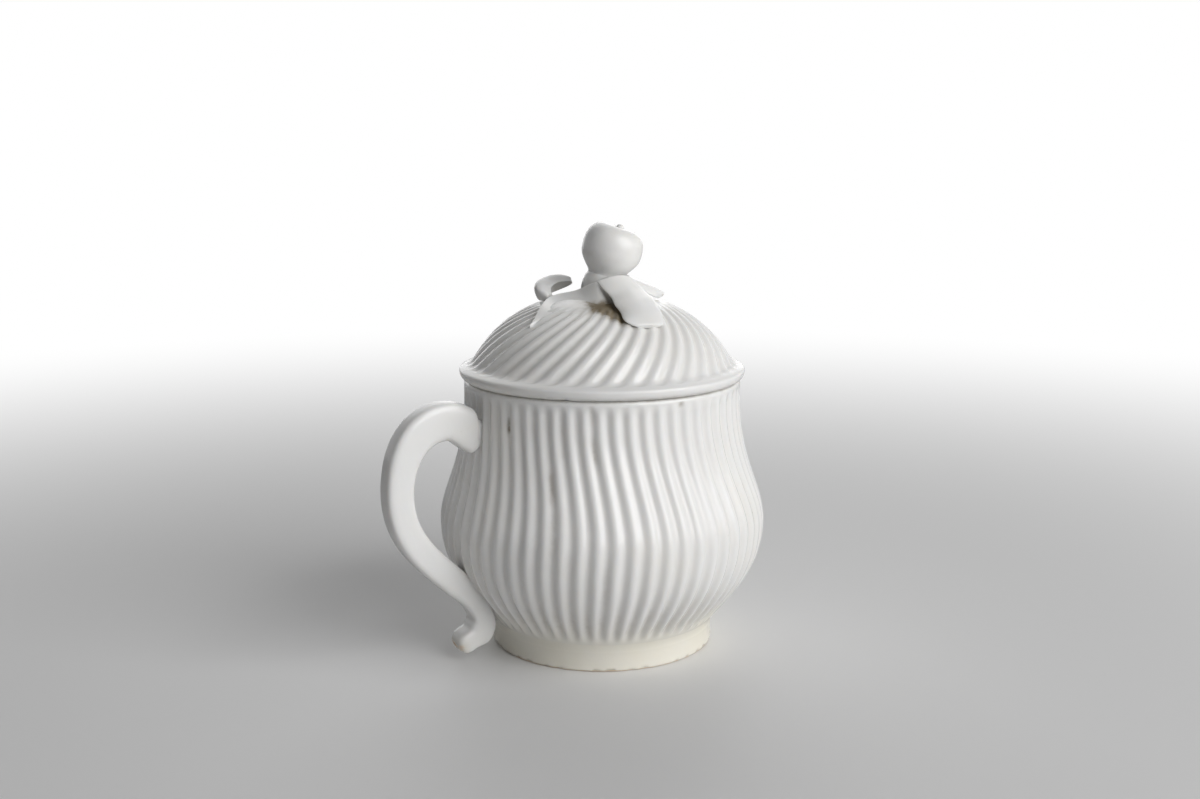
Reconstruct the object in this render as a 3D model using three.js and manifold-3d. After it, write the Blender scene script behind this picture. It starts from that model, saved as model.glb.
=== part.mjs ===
// A covered cream pot in white glazed porcelain: a reeded baluster cup on a turned foot, with a scrolled
// handle and a domed lid whose finial is a fruit on a short stalk among four leaves.
// Millimetres, +Z up. The pot stands on z = 0 and its handle points to -X.
import * as THREE from 'three';
import { mergeVertices } from 'three/addons/utils/BufferGeometryUtils.js';
import Module from 'manifold-3d';

const wasm = await Module();
wasm.setup();

// Clearances
const SEAT_GAP = 0.3;
const MOUTH_CLEARANCE = 0.7;

// Pot, with radii taken over the crests of the reeds
const FOOT_HEIGHT = 6;
const FOOT_RADIUS = 26.9;
const FOOT_WALL = 4.3;
const FOOT_EDGE = 0.6;
const BELLY_RADIUS = 39.4;
const BELLY_HEIGHT = 30.5;
const NECK_RADIUS = 33.15;
const NECK_DROP = 3.6;
const RIM_HEIGHT = 65;
const POT_WALL = 2.8;
const FLOOR_THICKNESS = 3.4;

// How full the pot's outline is: shares of the rise and swell where its curves are pulled to
const FOOT_FLARE = 0.49;
const FOOT_LIFT = 0.31;
const BELLY_FULLNESS = 0.455;
const SHOULDER_FULLNESS = 0.25;
const NECK_FULLNESS = 0.535;

// Reeding of the pot: ribs that sway sideways between the neck and the belly
const POT_REEDS = 60;
const POT_REED_DEPTH = 0.75;
const POT_REED_SWAY = 5.7;
const POT_REED_RETURN = 2.4;
const POT_REED_PHASE = 4.7;
const SWAY_HEIGHT = 33;
const RIM_BAND = 1.4;

// Handle, a scroll that springs from the neck, leans on the wall at its knee and kicks out at its toe
// Each station of its middle line is placed down from the rim or up from the table, and out from the pot
const HANDLE_REACH = 56.9;
const HANDLE_WIDTH = 6.2;
const ROOT_DROP = 11.2;
const ROOT_HEADING = 16;
const ROOT_THICKNESS = 9.8;
const ARCH_DROP = 6.8;
const ARCH_OUT = 9;
const ARCH_HEADING = -2;
const ARCH_THICKNESS = 8.9;
const BOW_DROP = 22.6;
const BOW_HEADING = -90;
const BOW_THICKNESS = 6.8;
const KNEE_HEIGHT = 20;
const KNEE_OUT = 3.2;
const KNEE_HEADING = -137;
const KNEE_THICKNESS = 6.6;
const WAIST_HEIGHT = 11.4;
const WAIST_OUT = 2.2;
const WAIST_HEADING = -112;
const WAIST_THICKNESS = 5.4;
const HEEL_HEIGHT = 7;
const HEEL_OUT = 6.9;
const HEEL_HEADING = -66;
const HEEL_THICKNESS = 6.6;
const TOE_HEIGHT = 4.8;
const TOE_OUT = 10.6;
const TOE_HEADING = -36;
const TOE_THICKNESS = 5.2;
const HANDLE_EASE = 0.39;
const HANDLE_SQUARENESS = 4.5;
const NOSE_SHARE = 0.7;

// Lid, also over the crests of its reeds
const LIP_RADIUS = 34.2;
const LIP_UNDERCUT = 1.25;
const LIP_MIDDLE = 1.9;
const DOME_RADIUS = 31.3;
const DOME_SPRING = 4;
const DOME_RISE = 16;
const DOME_FULLNESS = 0.753;
const DOME_SPRING_PULL = 0.14;
const LID_WALL = 2.6;
const LID_REEDS = 40;
const LID_REED_DEPTH = 0.85;
const LID_REED_TWIST = 1.42;
const LID_REED_PHASE = -98.4;
const REED_START_SHARE = 0.4;
const REED_RUN_IN = 1.8;
const CROWN_RADIUS = 14;
const CROWN_FADE = 3.5;
const FLANGE_DEPTH = 5;
const FLANGE_WALL = 2.2;
const LID_TURN = -30;

// Finial: the stalk bends to the side on which the lid is turned, and the fruit's axis bends on from it
const STALK_LEAN = 10;
const STALK_BASE_OFFSET = -0.6;
const STALK_BEND_OFFSET = -0.5;
const STALK_TOP_OFFSET = 1.2;
const STALK_BASE_RADIUS = 4.9;
const STALK_TOP_RADIUS = 4.35;
const STALK_HEIGHT = 5;
const FRUIT_RADIUS = 7.2;
const FRUIT_BASE_RADIUS = 4.15;
const FRUIT_LENGTH = 10.8;
const FRUIT_WAIST = 5.9;
const FRUIT_SHOULDER = 3;
const FRUIT_TAPER = 0.4;
const FRUIT_FULLNESS = 0.6;
const FRUIT_DIMPLE = 0.45;
const FRUIT_TOP_LEAN = 16;
const CALYX_RADIUS = 0.85;
const CALYX_HEIGHT = 1;

// Leaves: each is a blade between two edges that run from its root to its tip. A point of an edge is a
// bearing in degrees from the lid's front, counter-clockwise, then its distance from the lid's axis as a
// share of LEAF_SPAN, and its height over the dome as a share of LEAF_RISE. The bulge lifts the middle of
// the blade at its root, half way and at its tip, also by shares of LEAF_RISE
const LEAF_SPAN = 23;
const LEAF_RISE = 5;
const LEAF_THICKNESS = 1.3;
const LEAF_EDGE = 0.5;
const LEAF_LOBES = 3;
const LEAVES = {
  leaf_front: {
    near: [[-10, 0.305, 0.78], [9, 0.53, 0.36], [12.5, 0.705, 0.2], [15, 0.87, 0.12], [21, 0.95, 0.04]],
    far: [[66, 0.31, 0.9], [69, 0.48, 0.36], [57, 0.65, 0.16], [47, 0.81, 0.1], [40.5, 0.965, 0.04]],
    bulge: [0.12, 0.24, 0.08], scallop: 0.03, tipPower: 40,
  },
  leaf_left: {
    near: [[-4, 0.3, 0.8], [-60, 0.31, 0.28], [-78, 0.53, 0.2], [-60, 0.73, 0.16], [-48, 0.99, 0.06]],
    far: [[4, 0.47, 0.18], [-18, 0.535, 0], [-34, 0.65, 0], [-43, 0.78, 0], [-46, 0.975, 0]],
    bulge: [0.06, 0.12, 0.06], scallop: 0.01, tipPower: 6,
  },
  leaf_back: {
    near: [[-88, 0.515, 0.12], [-94, 0.53, 0.52], [-104, 0.475, 0.68], [-115, 0.35, 0.66]],
    far: [[-83, 0.59, 0], [-96, 0.7, 0.16], [-118, 0.6, 0.24], [-130, 0.415, 0.44]],
    bulge: [0.1, 0.68, 0.1], scallop: 0.02, tipPower: 5,
  },
  leaf_right: {
    near: [[62, 0.315, 0.68], [72, 0.435, 0.36], [84, 0.535, 0.16], [100, 0.6, 0.04]],
    far: [[100, 0.25, 0.82], [100, 0.39, 0.66], [102, 0.535, 0.52], [105, 0.675, 0.42]],
    bulge: [0.04, 0.06, 0.02], scallop: 0.02, tipPower: 60,
  },
};

// Fineness of the facets
const POT_STEPS = [4, 5];
const LIP_STEPS = 2;
const DOME_STEPS = 8;
const FRUIT_STEPS = [5, 6];
const COLUMNS_PER_REED = 4;
const FLANK_SHARE = 0.4;
const TURNED_SEGMENTS = 40;
const FRUIT_SEGMENTS = 22;
const STALK_SEGMENTS = 16;
const STALK_STEPS = 5;
const CALYX_SEGMENTS = 10;
const HANDLE_SIDES = 14;
const HANDLE_STEPS = [3, 5, 6, 3, 2, 2];
const LEAF_RINGS = 10;
const LEAF_COLUMNS = 5;

// How far a cutting shape runs past the face that it cuts
const OVERRUN = 1;

// Sizes that follow from the ones above
const NECK_HEIGHT = RIM_HEIGHT - NECK_DROP;
const POT_AXIS_X = (HANDLE_REACH - BELLY_RADIUS) / 2;
const MOUTH_RADIUS = NECK_RADIUS - POT_WALL;
const FLANGE_RADIUS = MOUTH_RADIUS - MOUTH_CLEARANCE;
const FLANGE_BORE = FLANGE_RADIUS - FLANGE_WALL;
const DOME_FOOT_HEIGHT = RIM_HEIGHT + DOME_SPRING;
const DOME_TOP_HEIGHT = DOME_FOOT_HEIGHT + DOME_RISE;

const radians = THREE.MathUtils.degToRad;
const point = (radius, height) => new THREE.Vector2(radius, height);

// Makes a solid of a closed geometry: shared corners are merged and collapsed triangles dropped
function solidOf(geometry) {
  const bare = geometry.clone();
  bare.deleteAttribute('normal');
  bare.deleteAttribute('uv');
  const merged = mergeVertices(bare, 1e-5);
  const corners = [];
  for (let i = 0; i < merged.index.count; i += 3) {
    const [a, b, c] = [0, 1, 2].map((k) => merged.index.getX(i + k));
    if (a !== b && b !== c && c !== a) corners.push(a, b, c);
  }
  const vertProperties = new Float32Array(merged.attributes.position.array);
  return new wasm.Manifold(new wasm.Mesh({ numProp: 3, vertProperties, triVerts: new Uint32Array(corners) }));
}

// Keeps the largest body of a solid, so that a cut leaves no crumb behind
function largestBody(solid) {
  const bodies = solid.decompose();
  return bodies.reduce((best, body) => (body.volume() > best.volume() ? body : best));
}

function meshOf(name, solid, material) {
  const { vertProperties, triVerts } = solid.getMesh();
  const geometry = new THREE.BufferGeometry();
  geometry.setAttribute('position', new THREE.BufferAttribute(vertProperties, 3));
  geometry.setIndex(new THREE.BufferAttribute(triVerts, 1));
  geometry.computeVertexNormals();
  const mesh = new THREE.Mesh(geometry, material);
  mesh.name = name;
  return mesh;
}

// Skins equal closed rings, each running counter-clockwise about the way they follow one another,
// and closes both ends with a fan on the middle of the end ring
function loft(rings) {
  const count = rings[0].length;
  const last = (rings.length - 1) * count;
  const middleOf = (ring) => ring.reduce((sum, p) => sum.add(p), new THREE.Vector3()).divideScalar(count);
  const points = [...rings.flat(), middleOf(rings[0]), middleOf(rings.at(-1))];
  const index = [];
  for (let column = 0; column < count; column += 1) {
    const next = (column + 1) % count;
    for (let row = 0; row < last; row += count) {
      index.push(row + column, row + next, row + count + next);
      index.push(row + column, row + count + next, row + count + column);
    }
    index.push(last + count, next, column);
    index.push(last + count + 1, last + column, last + next);
  }
  const geometry = new THREE.BufferGeometry().setFromPoints(points);
  geometry.setIndex(index);
  return solidOf(geometry);
}

// Turns an outline of radius and height about the Z axis
function turned(outline, segments) {
  return solidOf(new THREE.LatheGeometry(outline, segments).rotateX(Math.PI / 2));
}

// Moves each point of an outline square to it, outwards for an outline that runs upwards
function offsetOutline(outline, distance) {
  return outline.map((p, i) => {
    const before = outline[Math.max(i - 1, 0)];
    const after = outline[Math.min(i + 1, outline.length - 1)];
    const along = after.clone().sub(before).normalize();
    if (p.x === 0) return point(0, p.y + distance);
    return point(Math.max(p.x + along.y * distance, 0), p.y - along.x * distance);
  });
}

// Radius of an outline at a height
function radiusAt(outline, height) {
  const above = outline.findIndex((p) => p.y >= height);
  if (above <= 0) return outline[above < 0 ? outline.length - 1 : 0].x;
  const [low, high] = [outline[above - 1], outline[above]];
  return THREE.MathUtils.mapLinear(height, low.y, high.y, low.x, high.x);
}

// Reeded rings: each reed is a crest, two flanks and a groove; depth and turn follow the outline
function reededRings(outline, reeds, depthOf, turnOf) {
  const columns = reeds * COLUMNS_PER_REED;
  const cuts = [0, FLANK_SHARE, 1, FLANK_SHARE];
  return outline.map((p, i) => Array.from({ length: columns }, (_, column) => {
    const radius = p.x - depthOf(p, i) * cuts[column % COLUMNS_PER_REED];
    const angle = radians(turnOf(p, i)) + (column / columns) * 2 * Math.PI;
    return new THREE.Vector3(radius * Math.cos(angle), radius * Math.sin(angle), p.y);
  }));
}

// Outside of the pot from the foot to the rim
function potOutline() {
  const rise = BELLY_HEIGHT - FOOT_HEIGHT;
  const swell = BELLY_RADIUS - FOOT_RADIUS;
  const fall = NECK_HEIGHT - BELLY_HEIGHT;
  const lower = new THREE.CubicBezierCurve(
    point(FOOT_RADIUS, FOOT_HEIGHT),
    point(FOOT_RADIUS + swell * FOOT_FLARE, FOOT_HEIGHT + rise * FOOT_LIFT),
    point(BELLY_RADIUS, BELLY_HEIGHT - rise * BELLY_FULLNESS),
    point(BELLY_RADIUS, BELLY_HEIGHT),
  );
  const upper = new THREE.CubicBezierCurve(
    point(BELLY_RADIUS, BELLY_HEIGHT),
    point(BELLY_RADIUS, BELLY_HEIGHT + fall * SHOULDER_FULLNESS),
    point(NECK_RADIUS, NECK_HEIGHT - fall * NECK_FULLNESS),
    point(NECK_RADIUS, NECK_HEIGHT),
  );
  const band = [RIM_BAND, 0].map((drop) => point(NECK_RADIUS, RIM_HEIGHT - drop));
  return [...lower.getPoints(POT_STEPS[0]), ...upper.getPoints(POT_STEPS[1]).slice(1), ...band];
}

// Reeds of the pot start full at the foot and die out just under the plain band of the rim
function potReedDepth(p) {
  const below = RIM_HEIGHT - RIM_BAND - p.y;
  return POT_REED_DEPTH * THREE.MathUtils.clamp(below / (NECK_DROP - RIM_BAND), 0, 1);
}

// Reeds sway by an eased curve from the neck to the belly and lean slightly back towards the foot
function potReedTurn(p) {
  const up = THREE.MathUtils.clamp((p.y - SWAY_HEIGHT) / (NECK_HEIGHT - SWAY_HEIGHT), 0, 1);
  const down = THREE.MathUtils.clamp((SWAY_HEIGHT - p.y) / (SWAY_HEIGHT - FOOT_HEIGHT), 0, 1);
  const eased = (1 - Math.cos(Math.PI * up)) / 2;
  return POT_REED_PHASE - POT_REED_SWAY * eased - POT_REED_RETURN * down;
}

function potShell(outline) {
  return loft(reededRings(outline, POT_REEDS, potReedDepth, potReedTurn));
}

// The room inside the cup: the outline moved in by the wall, with a dished floor
function cupRoom() {
  const wall = offsetOutline(potOutline(), -POT_WALL);
  const floor = FOOT_HEIGHT + FLOOR_THICKNESS;
  const bend = radiusAt(wall, floor + POT_WALL);
  const side = wall.filter((p) => p.y > floor + POT_WALL && p.y < NECK_HEIGHT);
  const mouth = [point(MOUTH_RADIUS, NECK_HEIGHT), point(MOUTH_RADIUS, RIM_HEIGHT + OVERRUN)];
  const dish = [point(0, floor), point(bend - 2 * POT_WALL, floor), point(bend, floor + POT_WALL)];
  return turned([...dish, ...side, ...mouth, point(0, RIM_HEIGHT + OVERRUN)], TURNED_SEGMENTS);
}

function makePotBody(material) {
  return meshOf('pot_body', potShell(potOutline()).subtract(cupRoom()), material);
}

function makeFootRing(material) {
  const bore = FOOT_RADIUS - FOOT_WALL;
  const outline = [
    point(bore, FOOT_HEIGHT),
    point(bore, FOOT_EDGE),
    point(bore + FOOT_EDGE, 0),
    point(FOOT_RADIUS - FOOT_EDGE, 0),
    point(FOOT_RADIUS, FOOT_EDGE),
    point(FOOT_RADIUS, FOOT_HEIGHT),
    point(bore, FOOT_HEIGHT),
  ];
  return meshOf('foot_ring', turned(outline, TURNED_SEGMENTS), material);
}

const headingOf = (degrees) => point(Math.cos(radians(degrees)), Math.sin(radians(degrees)));

// Joins two stations of the handle by a cubic that leaves and arrives on their headings
function easedSpan(from, to) {
  const pull = from.at.distanceTo(to.at) * HANDLE_EASE;
  return new THREE.CubicBezierCurve(
    from.at,
    from.at.clone().addScaledVector(headingOf(from.heading), pull),
    to.at.clone().addScaledVector(headingOf(to.heading), -pull),
    to.at,
  );
}

// Stations of the handle's middle line, from the neck to the toe, with the way it heads at each
function handleStations() {
  const wall = potOutline();
  const besideWall = (height, out) => point(radiusAt(wall, height) + out, height);
  const root = point(NECK_RADIUS - POT_WALL / 2, RIM_HEIGHT - ROOT_DROP);
  const arch = point(NECK_RADIUS + ARCH_OUT, RIM_HEIGHT - ARCH_DROP);
  const bow = point(HANDLE_REACH - BOW_THICKNESS / 2, RIM_HEIGHT - BOW_DROP);
  return [
    { at: root, heading: ROOT_HEADING, thick: ROOT_THICKNESS },
    { at: arch, heading: ARCH_HEADING, thick: ARCH_THICKNESS },
    { at: bow, heading: BOW_HEADING, thick: BOW_THICKNESS },
    { at: besideWall(KNEE_HEIGHT, KNEE_OUT), heading: KNEE_HEADING, thick: KNEE_THICKNESS },
    { at: besideWall(WAIST_HEIGHT, WAIST_OUT), heading: WAIST_HEADING, thick: WAIST_THICKNESS },
    { at: point(FOOT_RADIUS + HEEL_OUT, HEEL_HEIGHT), heading: HEEL_HEADING, thick: HEEL_THICKNESS },
    { at: point(FOOT_RADIUS + TOE_OUT, TOE_HEIGHT), heading: TOE_HEADING, thick: TOE_THICKNESS },
  ];
}

// One squared-off oval section of the handle, square to its middle line
function handleRing(at, heading, thick, width) {
  const across = new THREE.Vector3(-heading.y, 0, -heading.x);
  const along = new THREE.Vector3(-heading.x, 0, heading.y);
  const aside = along.clone().cross(across);
  const square = (value) => Math.sign(value) * Math.abs(value) ** (2 / HANDLE_SQUARENESS);
  return Array.from({ length: HANDLE_SIDES }, (_, side) => {
    const angle = ((side + 0.5) / HANDLE_SIDES) * 2 * Math.PI;
    return new THREE.Vector3(-at.x, 0, at.y)
      .addScaledVector(across, square(Math.cos(angle)) * thick / 2)
      .addScaledVector(aside, square(Math.sin(angle)) * width / 2);
  });
}

// The handle is lofted along its spans, its toe is rounded off, and it is cut to the pot's wall
function makeHandle(material) {
  const stations = handleStations();
  const rings = [];
  stations.slice(1).forEach((to, i) => {
    const from = stations[i];
    const span = easedSpan(from, to);
    for (let step = i === 0 ? 0 : 1; step <= HANDLE_STEPS[i]; step += 1) {
      const share = step / HANDLE_STEPS[i];
      const thick = THREE.MathUtils.lerp(from.thick, to.thick, THREE.MathUtils.smoothstep(share, 0, 1));
      rings.push(handleRing(span.getPoint(share), span.getTangent(share), thick, HANDLE_WIDTH));
    }
  });
  const toe = stations.at(-1);
  const heading = headingOf(toe.heading);
  const nose = toe.at.clone().addScaledVector(heading, toe.thick * (1 - NOSE_SHARE));
  rings.push(handleRing(nose, heading, toe.thick * NOSE_SHARE, HANDLE_WIDTH * NOSE_SHARE));
  const keepOut = potShell(offsetOutline(potOutline(), SEAT_GAP));
  return meshOf('handle', largestBody(loft(rings).subtract(keepOut)), material);
}

// Outside of the dome above the lip
function domeOutline() {
  const curve = new THREE.CubicBezierCurve(
    point(DOME_RADIUS, DOME_FOOT_HEIGHT),
    point(DOME_RADIUS - DOME_SPRING / 2, DOME_FOOT_HEIGHT + DOME_RISE * DOME_SPRING_PULL),
    point(DOME_RADIUS * DOME_FULLNESS, DOME_TOP_HEIGHT),
    point(0, DOME_TOP_HEIGHT),
  );
  return curve.getPoints(DOME_STEPS);
}

// Outside of the lid: a lip that rounds out from the joint and sweeps in to the dome
function lidOutline() {
  const middle = RIM_HEIGHT + LIP_MIDDLE;
  const under = new THREE.QuadraticBezierCurve(
    point(LIP_RADIUS - LIP_UNDERCUT, RIM_HEIGHT),
    point(LIP_RADIUS, RIM_HEIGHT + LIP_MIDDLE / 4),
    point(LIP_RADIUS, middle),
  );
  const over = new THREE.CubicBezierCurve(
    point(LIP_RADIUS, middle),
    point(LIP_RADIUS, middle + LIP_UNDERCUT),
    point(DOME_RADIUS + LIP_UNDERCUT, DOME_FOOT_HEIGHT - LIP_UNDERCUT),
    point(DOME_RADIUS, DOME_FOOT_HEIGHT),
  );
  return [
    ...under.getPoints(LIP_STEPS),
    ...over.getPoints(LIP_STEPS).slice(1, -1),
    ...domeOutline().slice(0, -1),
  ];
}

// Reeds of the lid start above the lip and die out round the plain crown under the leaves
function lidReedDepth(p) {
  if (p.y < DOME_FOOT_HEIGHT) return 0;
  const inside = THREE.MathUtils.clamp((p.x - CROWN_RADIUS) / CROWN_FADE, 0, 1);
  const start = p.y > DOME_FOOT_HEIGHT ? 1 : REED_START_SHARE;
  return LID_REED_DEPTH * Math.min(inside, start);
}

// Reeds of the lid turn at a steady rate with the way up the dome, from just below its foot
function lidShell(outline) {
  const ways = [0];
  outline.slice(1).forEach((p, i) => ways.push(ways[i] + p.distanceTo(outline[i])));
  const start = ways[outline.findIndex((p) => p.y >= DOME_FOOT_HEIGHT)] - REED_RUN_IN;
  const turnOf = (p, i) => LID_REED_PHASE + LID_REED_TWIST * Math.max(ways[i] - start, 0);
  return loft(reededRings(outline, LID_REEDS, lidReedDepth, turnOf));
}

function makeLidDome(material) {
  const wall = offsetOutline(domeOutline(), -LID_WALL);
  const inner = wall.filter((p) => p.x < FLANGE_BORE && p.y > DOME_FOOT_HEIGHT);
  const below = RIM_HEIGHT - OVERRUN;
  const opening = [point(0, below), point(FLANGE_BORE, below), point(FLANGE_BORE, DOME_FOOT_HEIGHT)];
  const room = turned([...opening, ...inner], TURNED_SEGMENTS);
  return meshOf('lid_dome', lidShell(lidOutline()).subtract(room), material);
}

function makeLidFlange(material) {
  const low = RIM_HEIGHT - FLANGE_DEPTH;
  const outline = [
    point(FLANGE_BORE, RIM_HEIGHT),
    point(FLANGE_BORE, low + FOOT_EDGE),
    point(FLANGE_BORE + FOOT_EDGE, low),
    point(FLANGE_RADIUS - FOOT_EDGE, low),
    point(FLANGE_RADIUS, low + FOOT_EDGE),
    point(FLANGE_RADIUS, RIM_HEIGHT),
    point(FLANGE_BORE, RIM_HEIGHT),
  ];
  return meshOf('lid_flange', turned(outline, TURNED_SEGMENTS), material);
}

// A point of a leaf's edge, in its place above the dome
function overDome([bearing, reachShare, liftShare]) {
  const dome = domeOutline();
  const reach = reachShare * LEAF_SPAN;
  const outer = dome.findIndex((p) => p.x <= reach);
  const [low, high] = [dome[outer - 1], dome[outer]];
  const height = THREE.MathUtils.mapLinear(reach, low.x, high.x, low.y, high.y) + liftShare * LEAF_RISE;
  const angle = radians(bearing);
  return new THREE.Vector3(reach * Math.sin(angle), -reach * Math.cos(angle), height);
}

// Where the fruit sits on the stalk
function stalkTop() {
  return new THREE.Vector3(STALK_TOP_OFFSET, 0, DOME_TOP_HEIGHT + STALK_HEIGHT);
}

// The stalk is a bent taper that widens into the crown of the dome
function stalkSolid(grow) {
  const base = new THREE.Vector3(STALK_BASE_OFFSET, 0, DOME_TOP_HEIGHT - LID_WALL / 2);
  const top = stalkTop();
  const bend = new THREE.Vector3(STALK_BEND_OFFSET, 0, DOME_TOP_HEIGHT + STALK_HEIGHT / 2);
  const lean = new THREE.Vector3(Math.sin(radians(STALK_LEAN)), 0, Math.cos(radians(STALK_LEAN)));
  const arrival = top.clone().addScaledVector(lean, -STALK_HEIGHT / 4);
  const curve = new THREE.CubicBezierCurve3(base, bend, arrival, top);
  const rings = Array.from({ length: STALK_STEPS + 1 }, (_, step) => {
    const share = step / STALK_STEPS;
    const centre = curve.getPoint(share);
    const along = curve.getTangent(share);
    const across = new THREE.Vector3(along.z, 0, -along.x);
    const aside = along.clone().cross(across);
    const radius = THREE.MathUtils.lerp(STALK_BASE_RADIUS, STALK_TOP_RADIUS, Math.sqrt(share)) + grow;
    return Array.from({ length: STALK_SEGMENTS }, (__, side) => {
      const angle = (side / STALK_SEGMENTS) * 2 * Math.PI;
      return centre.clone()
        .addScaledVector(across, radius * Math.cos(angle))
        .addScaledVector(aside, radius * Math.sin(angle));
    });
  });
  return loft(rings);
}

// The fruit swells from its base to the waist and closes over a shallow dimple
function fruitSolid() {
  const lower = new THREE.CubicBezierCurve(
    point(FRUIT_BASE_RADIUS, 0),
    point(THREE.MathUtils.lerp(FRUIT_BASE_RADIUS, FRUIT_RADIUS, FRUIT_TAPER), FRUIT_WAIST * FRUIT_TAPER / 2),
    point(FRUIT_RADIUS, FRUIT_WAIST / 2),
    point(FRUIT_RADIUS, FRUIT_WAIST),
  );
  const upper = new THREE.CubicBezierCurve(
    point(FRUIT_RADIUS, FRUIT_WAIST),
    point(FRUIT_RADIUS, THREE.MathUtils.lerp(FRUIT_WAIST, FRUIT_LENGTH, FRUIT_FULLNESS)),
    point(THREE.MathUtils.lerp(FRUIT_SHOULDER, FRUIT_RADIUS, FRUIT_FULLNESS), FRUIT_LENGTH),
    point(FRUIT_SHOULDER, FRUIT_LENGTH),
  );
  const outline = [
    point(0, 0),
    ...lower.getPoints(FRUIT_STEPS[0]),
    ...upper.getPoints(FRUIT_STEPS[1]).slice(1),
    point(CALYX_RADIUS, FRUIT_LENGTH - FRUIT_DIMPLE),
    point(0, FRUIT_LENGTH - FRUIT_DIMPLE),
  ];
  return turned(outline, FRUIT_SEGMENTS);
}

function calyxSolid() {
  const outline = [
    point(0, 0),
    point(CALYX_RADIUS, 0),
    point(CALYX_RADIUS, CALYX_HEIGHT / 2),
    point(CALYX_RADIUS / 2, CALYX_HEIGHT),
    point(0, CALYX_HEIGHT),
  ];
  return turned(outline, CALYX_SEGMENTS);
}

// A value along a leaf, on the parabola through those at its root, half way and at its tip
function alongLeaf([root, middle, tip], share) {
  const rest = 1 - share;
  return root * rest * (rest - share) + middle * 4 * share * rest + tip * share * (share - rest);
}

// A leaf is a thin lens lofted between its edges, bulged across, lightly scalloped and rounded at its tip
function leafSolid({ near, far, bulge, scallop, tipPower }, grow) {
  const edgeOf = (points) => new THREE.CatmullRomCurve3(points.map(overDome), false, 'catmullrom');
  const [nearEdge, farEdge] = [edgeOf(near), edgeOf(far)];
  const rings = Array.from({ length: LEAF_RINGS }, (_, ring) => {
    const share = Math.sin((ring / (LEAF_RINGS - 1)) * (Math.PI / 2));
    const half = nearEdge.getPoint(share).sub(farEdge.getPoint(share)).divideScalar(2);
    const centre = farEdge.getPoint(share).add(half);
    const along = nearEdge.getTangent(share).add(farEdge.getTangent(share));
    const above = half.clone().cross(along).normalize();
    const width = half.length() * (1 + scallop * Math.sin(2 * Math.PI * LEAF_LOBES * share));
    half.setLength(Math.max(width * Math.sqrt(1 - share ** tipPower), LEAF_EDGE) + grow);
    const swell = LEAF_RISE * alongLeaf(bulge, share);
    const cross = (side, face) => {
      const thin = THREE.MathUtils.lerp(LEAF_THICKNESS, LEAF_EDGE, side * side) / 2 + grow;
      return centre.clone()
        .addScaledVector(half, side)
        .addScaledVector(above, swell * (1 - side * side) + face * thin);
    };
    const sides = Array.from({ length: LEAF_COLUMNS }, (__, column) => (2 * column) / (LEAF_COLUMNS - 1) - 1);
    return [...sides.map((side) => cross(side, 1)), ...sides.reverse().map((side) => cross(side, -1))];
  });
  return loft(rings);
}

// The room that the lid takes under the leaves: its outline over the crests of the reeds, with the seat gap
function lidRoom() {
  const crests = offsetOutline([...lidOutline(), point(0, DOME_TOP_HEIGHT)], SEAT_GAP);
  return turned([point(0, RIM_HEIGHT), ...crests], TURNED_SEGMENTS);
}

// The leaves are laid on the dome one after another, each cut to the stalk and to the leaves before it
function makeLeaves(material) {
  let keepOut = lidRoom().add(stalkSolid(SEAT_GAP)).add(placedFruit(fruitSolid(), -SEAT_GAP));
  return Object.entries(LEAVES).map(([name, leaf]) => {
    const mesh = meshOf(name, largestBody(leafSolid(leaf, 0).subtract(keepOut)), material);
    keepOut = keepOut.add(leafSolid(leaf, SEAT_GAP));
    return mesh;
  });
}

// Stands a solid on the stalk, a distance up the fruit's axis, which starts at the stalk's lean and bends
// on evenly: the middle of each level lies along the mean of the leans so far, and the level tips by its own
function placedFruit(solid, distance) {
  const top = stalkTop();
  return solid.warp((corner) => {
    const up = corner[2] + distance;
    const tip = radians(THREE.MathUtils.mapLinear(up, 0, FRUIT_LENGTH, STALK_LEAN, FRUIT_TOP_LEAN));
    const mean = (tip + radians(STALK_LEAN)) / 2;
    const aside = corner[0];
    corner[0] = top.x + up * Math.sin(mean) + aside * Math.cos(tip);
    corner[2] = top.z + up * Math.cos(mean) - aside * Math.sin(tip);
  });
}

function makeFinial(materials) {
  const stalk = largestBody(stalkSolid(0).subtract(lidRoom()));
  const calyxSeat = SEAT_GAP + FRUIT_LENGTH - FRUIT_DIMPLE + SEAT_GAP;
  return [
    meshOf('finial_stalk', stalk, materials.glaze),
    meshOf('finial_fruit', placedFruit(fruitSolid(), SEAT_GAP), materials.glaze),
    meshOf('finial_calyx', placedFruit(calyxSolid(), calyxSeat), materials.glaze),
    ...makeLeaves(materials.glaze),
  ];
}

const materials = {
  glaze: new THREE.MeshStandardMaterial({ color: 0xf1efe9, roughness: 0.12, metalness: 0 }),
  footGlaze: new THREE.MeshStandardMaterial({ color: 0xe9e3cf, roughness: 0.18, metalness: 0 }),
};

const pot = new THREE.Group();
pot.add(makePotBody(materials.glaze), makeFootRing(materials.footGlaze), makeHandle(materials.glaze));

const lid = new THREE.Group();
lid.add(makeLidDome(materials.glaze), makeLidFlange(materials.glaze), ...makeFinial(materials));
lid.rotation.z = radians(LID_TURN);

const creamPot = new THREE.Group();
creamPot.add(pot, lid);
creamPot.position.x = POT_AXIS_X;

export default creamPot;
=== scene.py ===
"""Looks of a covered cream pot in white glazed porcelain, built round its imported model.

Sizes are in millimetres and degrees, in the pot's own frame: its foot stands on z = 0, its handle points
to -X, and the lid is turned so that its front faces the viewer. A mesh is put into metres as it is made.
"""

import math

import bpy
import numpy as np
from mathutils import Matrix, Vector


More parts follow.
